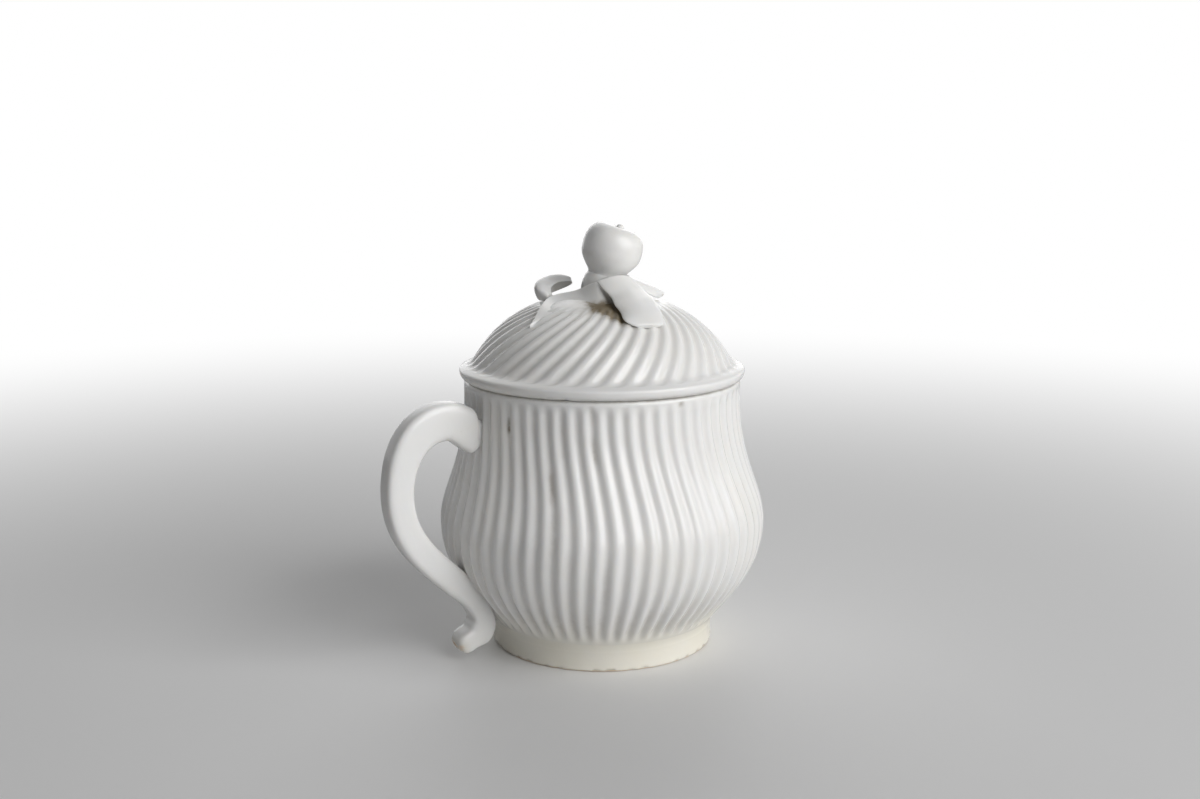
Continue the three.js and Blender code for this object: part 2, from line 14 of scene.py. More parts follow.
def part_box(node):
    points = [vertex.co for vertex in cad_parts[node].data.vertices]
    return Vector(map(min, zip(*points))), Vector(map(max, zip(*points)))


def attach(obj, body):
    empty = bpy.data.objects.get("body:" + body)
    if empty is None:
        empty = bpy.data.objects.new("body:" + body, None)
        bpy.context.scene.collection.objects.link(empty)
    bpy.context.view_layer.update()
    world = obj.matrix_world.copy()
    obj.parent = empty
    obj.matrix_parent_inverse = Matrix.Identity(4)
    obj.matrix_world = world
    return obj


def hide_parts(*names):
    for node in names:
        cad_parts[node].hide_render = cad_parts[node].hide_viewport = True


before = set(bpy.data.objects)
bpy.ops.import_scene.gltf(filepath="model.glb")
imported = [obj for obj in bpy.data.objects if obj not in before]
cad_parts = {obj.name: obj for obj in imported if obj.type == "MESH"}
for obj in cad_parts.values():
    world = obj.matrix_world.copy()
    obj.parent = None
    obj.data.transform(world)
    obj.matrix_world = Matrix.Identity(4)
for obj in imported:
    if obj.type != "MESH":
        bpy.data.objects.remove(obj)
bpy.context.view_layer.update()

# Foot ring
# A plain ring turned on the wheel and luted under the cup, in the same soft porcelain paste.
# Its glaze is thick and creamy, and was wiped off the edge that stands on the table, which is worn brown.
MILLIMETRE = 0.001
foot_low, foot_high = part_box("foot_ring")
POT_AXIS_X = (foot_low.x + foot_high.x) / 2 / MILLIMETRE
FOOT_RADIUS = (foot_high.x - foot_low.x) / 2 / MILLIMETRE
FOOT_HEIGHT = foot_high.z / MILLIMETRE
FOOT_WALL = 4.3
FOOT_EDGE = 0.7
FOOT_WAIST = 0.25
FOOT_SHOULDER = 1.4
FOOT_FILLET = 1.6
FOOT_FLARE = 1.15
FOOT_COLUMNS = 480
FOOT_SIDE_DEPTH = 1.2
FOOT_CHIP = 0.22
FOOT_CHIP_HEIGHT = 0.3
FOOT_CHIP_SPREAD = 0.45
FOOT_BARE_TOP = 0.65
FOOT_BARE_FADE = 0.5
FOOT_BARE_LEAST = 0.6
FOOT_CREAM = 0.8
FOOT_STAIN = 0.85

# Wear round an edge: how many waves go round and where each starts, the height under which they are cut, and
# how far round the stain lies from the chips
WEAR_WAVES = [(7, 1.1), (17, 0.4), (41, 2.3)]
WEAR_CUT = 0.9
WEAR_SHIFT = 0.3

GLAZE_WHITE = (0.845, 0.842, 0.832, 1)
GLAZE_CREAM = (0.80, 0.765, 0.66, 1)
# Grey of glaze pooled in the grooves, also dark enough to paint the shade in them
POOLED_AND_SHADED_GREY = (0.60, 0.56, 0.50, 1)
# Brown of the stains, dark enough to also paint the shadow that falls over the crown's stains
STAIN_AND_SHADE_BROWN = (0.205, 0.162, 0.10, 1)
BARE_PASTE = (0.74, 0.60, 0.46, 1)
POOLED_AND_SHADED_SHARE = 0.2
PINHOLE_SHARE = 0.6
PINHOLE_DEPTH = 0.6
PEEL_HEIGHT = 0.12

# How fine the glaze's patterns are, in repeats to the metre
CLOUD_SCALE = 55
WAVE_SCALE = 150
PINHOLE_SCALE = 260
GRAIN_SCALE = 420
PEEL_SCALE = 900

# How the patterns steer the glaze: the value at which each starts to tell and that at which it ends, and what
# it gives at the one and at the other
CREAM_BY_CLOUDS = (0.35, 0.75, -0.06, 0.16)
STAIN_AND_SHADE_BY_GRAIN = (0.3, 0.7, 0.45, 1.0)
PINHOLE_IN_CELL = (0.03, 0.07, 1.0, 0.0)
PINHOLES_BY_CLOUDS = (0.56, 0.66, 0.0, 1.0)
WEAR_BY_GRAIN = (0.2, 0.8, 0.6, 1.4)
WORN_THROUGH = (0.35, 0.6, 0.0, 1.0)
ROUGHNESS_BY_GRAIN = (0.3, 0.7, 0.19, 0.26)
WORN_ROUGHNESS = 0.75

RIPPLE_STRENGTH = 0.25
RIPPLE_HEIGHT = 0.0006
GLAZE_REFRACTION = 1.5
PASTE_GLOW = 0.12
PASTE_GLOW_COLOUR = (1.0, 0.8, 0.6)
PASTE_GLOW_DEPTH = 0.0015


def bezier(points, steps):
    """Points of a Bezier curve at equal steps: the control points weighed by Bernstein's polynomials."""
    share = np.linspace(0, 1, steps)[:, None]
    order = len(points) - 1
    weights = [math.comb(order, k) * (1 - share) ** (order - k) * share**k for k in range(order + 1)]
    return sum(weight * np.array(point, float) for weight, point in zip(weights, points))


def bell(distance, width):
    """A bell curve: e to the minus square of the distance over the width, so 1 where there is none."""
    return np.exp(-((distance / width) ** 2))


def ring_angles(columns):
    """Equal angles once round a ring, in radians."""
    return np.linspace(0, 2 * np.pi, columns, endpoint=False)


def around(outline, columns, turn=0.0):
    """Turns an outline of radius and height about the upright axis: each of its points becomes a ring."""
    angle = ring_angles(columns) + math.radians(turn)
    radius, height = outline[:, :1], outline[:, 1:]
    return np.stack([radius * np.cos(angle), radius * np.sin(angle), height + 0 * angle], axis=-1)


def on_axis(grid, turn=0.0):
    """Turns a grid of points about the upright axis and moves it to the pot's own axis."""
    cosine, sine = math.cos(math.radians(turn)), math.sin(math.radians(turn))
    turned = grid @ np.array([[cosine, sine, 0], [-sine, cosine, 0], [0, 0, 1]])
    return turned + np.array([POT_AXIS_X, 0, 0])


def marks(groove=0.0, cream=0.05, stain=0.0, bare=0.0):
    """The four marks that steer the glaze, each one number for the whole piece or one for each point."""
    return {"groove": groove, "cream": cream, "stain": stain, "bare": bare}


def skin(name, grid, piece_marks, looped=False):
    """Makes a closed mesh of a grid of rings, in metres. Neighbouring rings are joined by quads, and then
    either the last ring to the first, or each end ring by a fan to its own middle. If the signed volume is
    negative, the faces are turned over. The marks are kept as values of the points, for the material."""
    rows, columns = grid.shape[:2]
    corner = np.arange(rows * columns).reshape(rows, columns)
    right = np.roll(corner, -1, axis=1)
    if looped:
        quads = np.stack([corner, right, np.roll(right, -1, axis=0), np.roll(corner, -1, axis=0)], axis=-1)
    else:
        quads = np.stack([corner[:-1], right[:-1], right[1:], corner[1:]], axis=-1)
    quads = quads.reshape(-1, 4)
    poles = rows * columns + np.arange(2)
    first = np.stack([np.full(columns, poles[0]), right[0], corner[0]], axis=-1)
    last = np.stack([np.full(columns, poles[1]), corner[-1], right[-1]], axis=-1)
    fans = np.concatenate([first, last])[: 0 if looped else None]
    ends = np.array([grid[0].mean(0), grid[-1].mean(0)])[: 0 if looped else None]
    points = np.concatenate([grid.reshape(-1, 3), ends]) * MILLIMETRE
    triangles = np.concatenate([quads[:, [0, 1, 2]], quads[:, [0, 2, 3]], fans])
    a, b, c = (points[triangles[:, k]] for k in range(3))
    if np.einsum("ij,ij->", a, np.cross(b, c)) < 0:
        quads, fans = quads[:, ::-1], fans[:, ::-1]
    mesh = bpy.data.meshes.new(name)
    mesh.from_pydata(points.tolist(), [], quads.tolist() + fans.tolist())
    for mark, values in piece_marks.items():
        spread = np.broadcast_to(values, (rows, columns))
        at_ends = np.array([spread[0].mean(), spread[-1].mean()])[: 0 if looped else None]
        kept = mesh.attributes.new(mark, "FLOAT", "POINT")
        kept.data.foreach_set("value", np.concatenate([spread.reshape(-1), at_ends]).astype(np.float32))
    mesh.shade_smooth()
    mesh.update()
    piece = bpy.data.objects.new(name, mesh)
    bpy.context.scene.collection.objects.link(piece)
    return piece


def node(tree, kind, inputs=None, **settings):
    """Adds a shader node, with its settings, and fills its inputs with values or other nodes' outputs."""
    made = tree.nodes.new("ShaderNode" + kind)
    for key, value in settings.items():
        setattr(made, key, value)
    for key, value in (inputs or {}).items():
        if isinstance(value, bpy.types.NodeSocket):
            tree.links.new(value, made.inputs[key])
        else:
            made.inputs[key].default_value = value
    return made


def noise(tree, place, scale, **inputs):
    """Noise in the piece's own space, about one half on average."""
    return node(tree, "TexNoise", {"Vector": place, "Scale": scale, **inputs}).outputs[0]


def blended(tree, share, under, over):
    """The colour over laid on the colour under by a share."""
    return node(tree, "Mix", {0: share, 6: under, 7: over}, data_type="RGBA").outputs[2]


def ramped(tree, value, low, high, start=0.0, end=1.0):
    """A value mapped from low and high to start and end, eased at both and held past them."""
    sockets = {"Value": value, "From Min": low, "From Max": high, "To Min": start, "To Max": end}
    return node(tree, "MapRange", sockets, interpolation_type="SMOOTHSTEP").outputs[0]


def joined(tree, operation, one, *others):
    """Two or more values joined by the same operation, in turn."""
    for other in others:
        one = node(tree, "Math", {0: one, 1: other}, operation=operation).outputs[0]
    return one


def mark_of(tree, name):
    """A mark kept on the mesh, as a number."""
    return node(tree, "Attribute", attribute_name=name).outputs["Fac"]


def glaze(name):
    """Glossy clear glaze over white paste. The marks on the mesh steer it: groove, where the glaze pools
    and greys and shade is painted in; cream, where it is thick and yellow; stain, where brown has crept in,
    which on the lower grooves, the crown and the left leaf's root also paints shade and shadow; and bare,
    where it is worn or wiped off the paste. Noise in the piece's own space clouds the white, breaks the marks
    up, scatters pinholes and ripples the surface."""
    material = bpy.data.materials.new(name)
    material.use_nodes = True
    tree = material.node_tree
    shader = tree.nodes["Principled BSDF"]
    place = node(tree, "TexCoord").outputs["Object"]
    clouds = noise(tree, place, CLOUD_SCALE, Detail=3)
    grain = noise(tree, place, GRAIN_SCALE, Detail=4, Roughness=0.6)
    waves = noise(tree, place, WAVE_SCALE, Detail=1)
    peel = noise(tree, place, PEEL_SCALE, Detail=1)
    cells = node(tree, "TexVoronoi", {"Vector": place, "Scale": PINHOLE_SCALE}).outputs["Distance"]

    cream = joined(tree, "ADD", mark_of(tree, "cream"), ramped(tree, clouds, *CREAM_BY_CLOUDS))
    colour = blended(tree, cream, GLAZE_WHITE, GLAZE_CREAM)
    # Painted shade in the grooves, together with the grey of pooled glaze
    pooled_and_shaded = joined(tree, "MULTIPLY", mark_of(tree, "groove"), POOLED_AND_SHADED_SHARE)
    colour = blended(tree, pooled_and_shaded, colour, POOLED_AND_SHADED_GREY)
    # Stain mark: real stains, and painted shade where it lies in the lower grooves, on the crown and at the
    # left leaf's root
    crept_and_shaded = joined(tree, "MULTIPLY", mark_of(tree, "stain"), ramped(tree, grain, *STAIN_AND_SHADE_BY_GRAIN))
    colour = blended(tree, crept_and_shaded, colour, STAIN_AND_SHADE_BROWN)
    in_cell = ramped(tree, cells, *PINHOLE_IN_CELL)
    in_cloud = ramped(tree, clouds, *PINHOLES_BY_CLOUDS)
    pinholes = joined(tree, "MULTIPLY", in_cell, in_cloud, PINHOLE_SHARE)
    colour = blended(tree, pinholes, colour, STAIN_AND_SHADE_BROWN)
    worn = joined(tree, "MULTIPLY", mark_of(tree, "bare"), ramped(tree, grain, *WEAR_BY_GRAIN))
    worn = ramped(tree, worn, *WORN_THROUGH)
    colour = blended(tree, worn, colour, BARE_PASTE)
    tree.links.new(colour, shader.inputs["Base Color"])

    gloss = ramped(tree, grain, *ROUGHNESS_BY_GRAIN)
    rough = node(tree, "Mix", {0: worn, 2: gloss, 3: WORN_ROUGHNESS})
    tree.links.new(rough.outputs[0], shader.inputs["Roughness"])
    height = joined(tree, "ADD", waves, joined(tree, "MULTIPLY", peel, PEEL_HEIGHT))
    height = joined(tree, "ADD", height, joined(tree, "MULTIPLY", pinholes, -PINHOLE_DEPTH))
    bump = node(tree, "Bump", {"Height": height, "Strength": RIPPLE_STRENGTH, "Distance": RIPPLE_HEIGHT})
    tree.links.new(bump.outputs[0], shader.inputs["Normal"])
    shader.inputs["IOR"].default_value = GLAZE_REFRACTION
    shader.inputs["Subsurface Weight"].default_value = PASTE_GLOW
    shader.inputs["Subsurface Radius"].default_value = PASTE_GLOW_COLOUR
    shader.inputs["Subsurface Scale"].default_value = PASTE_GLOW_DEPTH
    return material


def finish_piece(piece, material, body, replaced):
    """Gives a piece its material, hangs it on the body that it rides on, and hides the imported part that it
    stands for.
    """
    piece.data.materials.append(material)
    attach(piece, body)
    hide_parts(replaced)


def chips(angle):
    """Uneven wear round an edge, from 0 to 1: sine waves of unlike counts, with their valleys cut off."""
    waves = sum(np.sin(count * angle + start) for count, start in WEAR_WAVES)
    return np.clip(waves - WEAR_CUT, 0, 1)


foot_bore = FOOT_RADIUS - FOOT_WALL
foot_shoulder = FOOT_HEIGHT - FOOT_SHOULDER
foot_outline = np.concatenate([
    bezier([(foot_bore, FOOT_HEIGHT), (foot_bore, FOOT_EDGE)], steps=16),
    bezier([(foot_bore, FOOT_EDGE), (foot_bore, 0), (foot_bore + FOOT_EDGE, 0)], steps=8)[1:],
    bezier([(foot_bore + FOOT_EDGE, 0), (FOOT_RADIUS - FOOT_EDGE, 0)], steps=8)[1:],
    bezier([(FOOT_RADIUS - FOOT_EDGE, 0), (FOOT_RADIUS, 0), (FOOT_RADIUS, FOOT_EDGE)], steps=8)[1:],
    bezier([(FOOT_RADIUS, FOOT_EDGE), (FOOT_RADIUS - FOOT_WAIST, FOOT_HEIGHT / 2),
            (FOOT_RADIUS, foot_shoulder)], steps=20)[1:],
    bezier([(FOOT_RADIUS, foot_shoulder), (FOOT_RADIUS, FOOT_HEIGHT),
            (FOOT_RADIUS + FOOT_FLARE, FOOT_HEIGHT + FOOT_FILLET)], steps=14)[1:],
])
foot_grid = around(foot_outline, FOOT_COLUMNS)
foot_angle = ring_angles(FOOT_COLUMNS)
foot_wear = chips(foot_angle + WEAR_SHIFT)
on_foot_side = foot_outline[:, :1] > FOOT_RADIUS - FOOT_SIDE_DEPTH
low_on_foot = bell(foot_grid[..., 2] - FOOT_CHIP_HEIGHT, FOOT_CHIP_SPREAD) * on_foot_side
foot_grid[..., :2] *= 1 - (FOOT_CHIP / FOOT_RADIUS * low_on_foot * chips(foot_angle))[..., None]
foot_bare = np.clip((FOOT_BARE_TOP - foot_grid[..., 2]) / FOOT_BARE_FADE, 0, 1)
foot_bare = foot_bare * (FOOT_BARE_LEAST + (1 - FOOT_BARE_LEAST) * foot_wear)
foot_marks = marks(cream=FOOT_CREAM, stain=FOOT_STAIN * low_on_foot * foot_wear, bare=foot_bare)
foot_piece = skin("foot_ring_turned", on_axis(foot_grid), foot_marks, looped=True)
finish_piece(foot_piece, glaze("foot_glaze"), "pot", "foot_ring")

# Pot body
# The cup is pressed in a mould in soft porcelain: sixty rounded reeds sway down its baluster wall.
# Its glaze thins on the crests, pools grey in the grooves, where shade is painted in too,
# and goes creamy where it ran down to the foot.
RIM_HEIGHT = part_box("pot_body")[1].z / MILLIMETRE
BELLY_RADIUS = 39.4
BELLY_HEIGHT = 30.5
NECK_RADIUS = 33.15
NECK_BAND = 3.6
NECK_HEIGHT = RIM_HEIGHT - NECK_BAND
POT_WALL = 2.8
RIM_ROUND = 1.1
FLOOR_THICKNESS = 3.4
FLOOR_HEIGHT = FOOT_HEIGHT + FLOOR_THICKNESS
FLOOR_BEND = (3, 3.6)
FLOOR_EDGE_RADIUS = 21
FLOOR_FLAT_RADIUS = 10
POLE_RADIUS = 0.3
POT_REEDS = 60
COLUMNS_PER_REED = 12
POT_REED_DEPTH = 0.56
POT_REED_DEEPER = 0.35
POT_REED_SHARPNESS = 1.1
POT_REED_PHASE = 4.7
POT_REED_SWAY = 5.7
POT_REED_RETURN = 2.4
SWAY_HEIGHT = 33
PLAIN_UNDER_RIM = 1.3
REED_RUN_OUT = 2.4
REED_RUN_OUT_POWER = 0.7

# The wall's two cubics leave and arrive by these shares of their rise, and the lower one spreads by a share
# of the way out to the belly
LEAVE_FOOT = 0.31
REACH_BELLY = 0.455
LEAVE_BELLY = 0.25
REACH_NECK = 0.535
SPREAD_AT_FOOT = 0.49

# Of the wall's rings, those that the inside follows: every third one, from under the rim to over the floor
INSIDE_RINGS = slice(-9, 14, -3)

CREAM_AT_FOOT = 0.75
CREAM_REACH = 9
CREAM_FADE_POWER = 1.5
RIM_STAIN = 0.45
RIM_STAIN_SPREAD = 0.5
RIM_STAIN_DEPTH = 0.8
# Painted shade in the grooves low on the belly: its strength, the height of its middle and its spread
LOW_GROOVE_SHADE = 0.24
LOW_GROOVE_SHADE_HEIGHT = 13.5
LOW_GROOVE_SHADE_SPREAD = 4.5

# Stains that crept into the grooves: the groove's number, the height, half the length, half the width in
# grooves, and the strength
POT_STAINS = [
    (33, 57.8, 1.6, 0.12, 1.2),
    (36, 45.5, 3.5, 0.2, 0.5),
    (36, 35.5, 4.5, 0.22, 0.25),
    (37, 56, 4.5, 0.2, 0.25),
    (39, 53.5, 3.2, 0.2, 0.45),
    (39, 62, 2.2, 0.2, 0.3),
    (39, 24, 5, 0.25, 0.2),
    (45, 63.6, 0.8, 0.2, 0.6),
    (53, 37, 6, 0.24, 0.2),
    (8, 48, 5, 0.2, 0.3),
    (13, 20, 4, 0.2, 0.3),
    (21, 55, 3, 0.18, 0.5),
]


def pot_wall():
    """Outside of the wall: a cubic from foot to belly, one from belly to neck, then straight up."""
    rise, fall = BELLY_HEIGHT - FOOT_HEIGHT, NECK_HEIGHT - BELLY_HEIGHT
    spread = SPREAD_AT_FOOT * (BELLY_RADIUS - FOOT_RADIUS)
    lower = bezier([(FOOT_RADIUS, FOOT_HEIGHT), (FOOT_RADIUS + spread, FOOT_HEIGHT + LEAVE_FOOT * rise),
                    (BELLY_RADIUS, BELLY_HEIGHT - REACH_BELLY * rise),
                    (BELLY_RADIUS, BELLY_HEIGHT)], steps=40)
    upper = bezier([(BELLY_RADIUS, BELLY_HEIGHT), (BELLY_RADIUS, BELLY_HEIGHT + LEAVE_BELLY * fall),
                    (NECK_RADIUS, NECK_HEIGHT - REACH_NECK * fall), (NECK_RADIUS, NECK_HEIGHT)], steps=44)
    band = bezier([(NECK_RADIUS, NECK_HEIGHT), (NECK_RADIUS, RIM_HEIGHT - RIM_ROUND)], steps=8)
    return np.concatenate([lower, upper[1:], band[1:]])


def square_to(outline):
    """Unit directions square to an outline, to the right of the way it runs."""
    along = np.gradient(outline, axis=0)
    along /= np.linalg.norm(along, axis=1, keepdims=True)
    return np.stack([along[:, 1], -along[:, 0]], axis=1)


def reeded(outline, reeds, depth, turn, sharpness):
    """Turns an outline about the axis and presses grooves into it, square to it: their depth follows a
    cosine round the ring, raised to a power, and each ring is turned by its own angle.
    Gives the grid and how deep in a groove each of its points lies, from 0 to 1."""
    angle = ring_angles(reeds * COLUMNS_PER_REED)
    groove = ((1 - np.cos(reeds * angle)) / 2) ** sharpness
    press = depth[:, None] * groove
    square = square_to(outline)
    radius = outline[:, :1] - press * square[:, :1]
    height = outline[:, 1:] - press * square[:, 1:]
    bearing = angle + np.radians(turn)[:, None]
    grid = np.stack([radius * np.cos(bearing), radius * np.sin(bearing), height], axis=-1)
    return grid, groove * (depth / depth.max())[:, None]


def streaks(groove_number, height):
    """Stain in the grooves: for each streak a bell across its groove, times e to the minus fourth power of
    the distance along it over half its length."""
    stain = 0
    for number, middle, half_length, half_width, strength in POT_STAINS:
        along = np.exp(-(((height - middle) / half_length) ** 4))
        stain = stain + strength * bell(groove_number - number, half_width) * along
    return stain


outside = pot_wall()
outside_height = outside[:, 1]
up_share = np.clip((outside_height - SWAY_HEIGHT) / (NECK_HEIGHT - SWAY_HEIGHT), 0, 1)
down_share = np.clip((SWAY_HEIGHT - outside_height) / (SWAY_HEIGHT - FOOT_HEIGHT), 0, 1)
sway = POT_REED_SWAY * (1 - np.cos(np.pi * up_share)) / 2
pot_turn = POT_REED_PHASE - sway - POT_REED_RETURN * down_share
under_rim = np.clip((RIM_HEIGHT - PLAIN_UNDER_RIM - outside_height) / REED_RUN_OUT, 0, 1)
over_foot = np.clip((outside_height - FOOT_HEIGHT - FOOT_FILLET) / REED_RUN_OUT, 0, 1)
pot_depth = POT_REED_DEPTH * (1 + POT_REED_DEEPER * down_share)
pot_depth = pot_depth * (under_rim * over_foot) ** REED_RUN_OUT_POWER
pot_outer, pot_groove = reeded(outside, POT_REEDS, pot_depth, pot_turn, POT_REED_SHARPNESS)

mouth_radius = NECK_RADIUS - POT_WALL
rim_start = RIM_HEIGHT - RIM_ROUND
wall_inside = (outside - POT_WALL * square_to(outside))[INSIDE_RINGS]
pot_bottom = bezier([(POLE_RADIUS, FOOT_HEIGHT), (FOOT_RADIUS, FOOT_HEIGHT)], steps=6)[:-1]
pot_inside = np.concatenate([
    bezier([(NECK_RADIUS, rim_start), (NECK_RADIUS, RIM_HEIGHT),
            (NECK_RADIUS - RIM_ROUND, RIM_HEIGHT)], steps=7)[1:],
    bezier([(mouth_radius + RIM_ROUND, RIM_HEIGHT), (mouth_radius, RIM_HEIGHT),
            (mouth_radius, rim_start)], steps=7),
    wall_inside,
    bezier([wall_inside[-1], wall_inside[-1] - FLOOR_BEND, (FLOOR_EDGE_RADIUS, FLOOR_HEIGHT),
            (FLOOR_FLAT_RADIUS, FLOOR_HEIGHT), (POLE_RADIUS, FLOOR_HEIGHT)], steps=16)[1:],
])
pot_columns = POT_REEDS * COLUMNS_PER_REED
bottom_grid = around(pot_bottom, pot_columns, pot_turn[0])
inside_grid = around(pot_inside, pot_columns, pot_turn[-1])
pot_grid = np.concatenate([bottom_grid, pot_outer, inside_grid])
pot_height = pot_grid[..., 2]
pot_reach = np.hypot(pot_grid[..., 0], pot_grid[..., 1])
pot_groove = np.pad(pot_groove, ((len(pot_bottom), len(pot_inside)), (0, 0)))
on_outside = np.repeat([0.0, 1.0, 0.0], [len(pot_bottom), len(pot_outer), len(pot_inside)])[:, None]
pot_streaks = streaks(np.arange(pot_columns) / COLUMNS_PER_REED - 0.5, pot_height)
at_joint = bell(pot_height - RIM_HEIGHT, RIM_STAIN_SPREAD) * (pot_reach > NECK_RADIUS - RIM_STAIN_DEPTH)
# Painted shade: the lower grooves are darkened through the stain mark
painted_shade_low_in_grooves = pot_groove * bell(pot_height - LOW_GROOVE_SHADE_HEIGHT, LOW_GROOVE_SHADE_SPREAD)
down_to_foot = np.clip(1 - (pot_height - FOOT_HEIGHT) / CREAM_REACH, 0, 1)
pot_marks = marks(
    groove=pot_groove,
    cream=CREAM_AT_FOOT * down_to_foot**CREAM_FADE_POWER,
    stain=on_outside * pot_streaks + RIM_STAIN * at_joint + LOW_GROOVE_SHADE * painted_shade_low_in_grooves,
)
pot_piece = skin("pot_body_reeded", on_axis(pot_grid), pot_marks)
finish_piece(pot_piece, glaze("pot_glaze"), "pot", "pot_body")

# Handle
# A scroll cut from a strip of clay, luted on below the rim and against the lower wall before the glaze.
# Its flat sides keep soft corners under the glaze, and the end of its toe is worn to the pale paste.
HANDLE_REACH = POT_AXIS_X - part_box("handle")[0].x / MILLIMETRE
HANDLE_WIDTH = 6.2
HANDLE_SIDES = 96
HANDLE_RINGS = 320
HANDLE_STEPS = 28
HANDLE_PULL = 0.39
HANDLE_SQUARENESS = 4.3
HANDLE_EASED_RINGS = 19
NOSE_RINGS = 14
NOSE_TURN = 0.98
NOSE_FULLNESS = 0.75
NOSE_NARROWING = 0.6
ROOT_PINCH = 0.34
ROOT_ROUND = 2.4
ROOT_FOOT = BELLY_HEIGHT + 8
TOE_TIP = (FOOT_RADIUS + 12.9, 3.6)

# Strength and reach of what marks the handle: cream up from the table, and the rest round the tip of the toe
LOW_CREAM = (0.3, 6)
TOE_CREAM = (0.6, 2.0)
TOE_STAIN = (0.16, 1.5)
TOE_BARE = (0.6, 1.9)


def wall_radius(height):
    """How far from the axis the outside of the pot's wall lies at a height."""
    return np.interp(height, outside[:, 1], outside[:, 0])


# Each station is how far out and how high the middle line lies, its heading there, and the thickness
HANDLE_STATIONS = [
    (NECK_RADIUS - 0.7, RIM_HEIGHT - 11, 16, 9.8),
    (NECK_RADIUS + 9, RIM_HEIGHT - 6.8, -2, 8.9),
    (HANDLE_REACH - 3.4, RIM_HEIGHT - 22.6, -90, 6.8),
    (wall_radius(20) + 3.2, 20, -137, 6.6),
    (wall_radius(11.4) + 2.2, 11.4, -112, 5.4),
    (FOOT_RADIUS + 6.9, 7, -66, 6.6),
    (FOOT_RADIUS + 10.6, 4.8, -36, 5.2),
]
TOE_THICKNESS = HANDLE_STATIONS[-1][3]


def way_along(line):
    """How far along a line each of its points lies."""
    return np.concatenate([[0], np.cumsum(np.linalg.norm(np.diff(line, axis=0), axis=1))])


def handle_line():
    """Middle line and thickness: a cubic from each station to the next, which leaves and arrives on their
    headings, with the thickness eased between them. Then both are read off at equal steps along the line."""
    lines, thicks = [], []
    share = np.linspace(0, 1, HANDLE_STEPS)
    for (x0, z0, heading0, thick0), (x1, z1, heading1, thick1) in zip(HANDLE_STATIONS, HANDLE_STATIONS[1:]):
        pull = HANDLE_PULL * math.hypot(x1 - x0, z1 - z0)
        leave, arrive = math.radians(heading0), math.radians(heading1)
        controls = [(x0, z0), (x0 + pull * math.cos(leave), z0 + pull * math.sin(leave)),
                    (x1 - pull * math.cos(arrive), z1 - pull * math.sin(arrive)), (x1, z1)]
        lines.append(bezier(controls, HANDLE_STEPS)[:-1])
        thicks.append((thick0 + (thick1 - thick0) * share**2 * (3 - 2 * share))[:-1])
    line, thick = np.concatenate(lines), np.concatenate(thicks)
    way = way_along(line)
    places = np.linspace(0, way[-1], HANDLE_RINGS)
    line = np.stack([np.interp(places, way, line[:, 0]), np.interp(places, way, line[:, 1])], axis=1)
    return line, np.interp(places, way, thick)


def rounded_nose(line, thick):
    """Carries a line on past its end by a half round: the thickness follows a cosine to nearly nothing,
    raised to a power under one, which keeps the nose full."""
    heading = (line[-1] - line[-2]) / np.linalg.norm(line[-1] - line[-2])
    turn = np.linspace(0, NOSE_TURN * np.pi / 2, NOSE_RINGS)[1:]
    nose = line[-1] + heading * (thick[-1] / 2 * np.sin(turn))[:, None]
    return np.concatenate([line, nose]), np.concatenate([thick, thick[-1] * np.cos(turn) ** NOSE_FULLNESS])


def eased(directions, reach):
    """Directions averaged with their neighbours on the line, so that its sides don't fold in tight bends."""
    padded = np.pad(directions, ((reach, reach), (0, 0)), mode="edge")
    mean = sum(padded[k : k + len(directions)] for k in range(2 * reach + 1))
    return mean / np.linalg.norm(mean, axis=1, keepdims=True)


def squared(value):
    """A sine or cosine pulled out towards the corners of its square."""
    return np.sign(value) * np.abs(value) ** (2 / HANDLE_SQUARENESS)


def beside(middle, square, across):
    """Points to the side of a middle line: how far out and how high each lies, by its distance across."""
    return middle[:, :1] + square[:, :1] * across, middle[:, 1:] + square[:, 1:] * across


handle_middle, handle_thick = rounded_nose(*handle_line())
handle_square = eased(square_to(handle_middle), HANDLE_EASED_RINGS)
handle_ring = ring_angles(HANDLE_SIDES)
nose_narrowing = np.minimum(handle_thick / TOE_THICKNESS, 1) ** NOSE_NARROWING
across = handle_thick[:, None] / 2 * squared(np.cos(handle_ring))
aside = (HANDLE_WIDTH / 2 * nose_narrowing)[:, None] * squared(np.sin(handle_ring))
handle_out, handle_up = beside(handle_middle, handle_square, across)
off_wall = np.clip((handle_out - wall_radius(handle_up)) / ROOT_ROUND, 0, 1)
pinch = 1 - ROOT_PINCH * (1 - off_wall) ** 2 * (handle_up > ROOT_FOOT)
handle_out, handle_up = beside(handle_middle, handle_square, across * pinch)
handle_grid = np.stack([-handle_out, aside * pinch, handle_up], axis=-1)
from_tip = np.hypot(handle_out - TOE_TIP[0], handle_up - TOE_TIP[1])
handle_marks = marks(
    cream=LOW_CREAM[0] * np.exp(-handle_up / LOW_CREAM[1]) + TOE_CREAM[0] * bell(from_tip, TOE_CREAM[1]),
    stain=TOE_STAIN[0] * bell(from_tip, TOE_STAIN[1]),
    bare=TOE_BARE[0] * bell(from_tip, TOE_BARE[1]),
)
handle_piece = skin("handle_scroll", on_axis(handle_grid), handle_marks)
finish_piece(handle_piece, glaze("handle_glaze"), "pot", "handle")

# Lid flange
# A ring under the lid that drops into the cup's mouth and keeps the lid from sliding off.
# It is of the same clay and glaze, and the unglazed edge under it took on a little brown.
flange_low, flange_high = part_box("lid_flange")
FLANGE_RADIUS = (flange_high.x - flange_low.x) / 2 / MILLIMETRE
FLANGE_FOOT = flange_low.z / MILLIMETRE
FLANGE_COLUMNS = 240
FLANGE_BARE_REACH = 0.6
FLANGE_CREAM = 0.4
FLANGE_STAIN = 0.3
FLANGE_BARE = 0.7

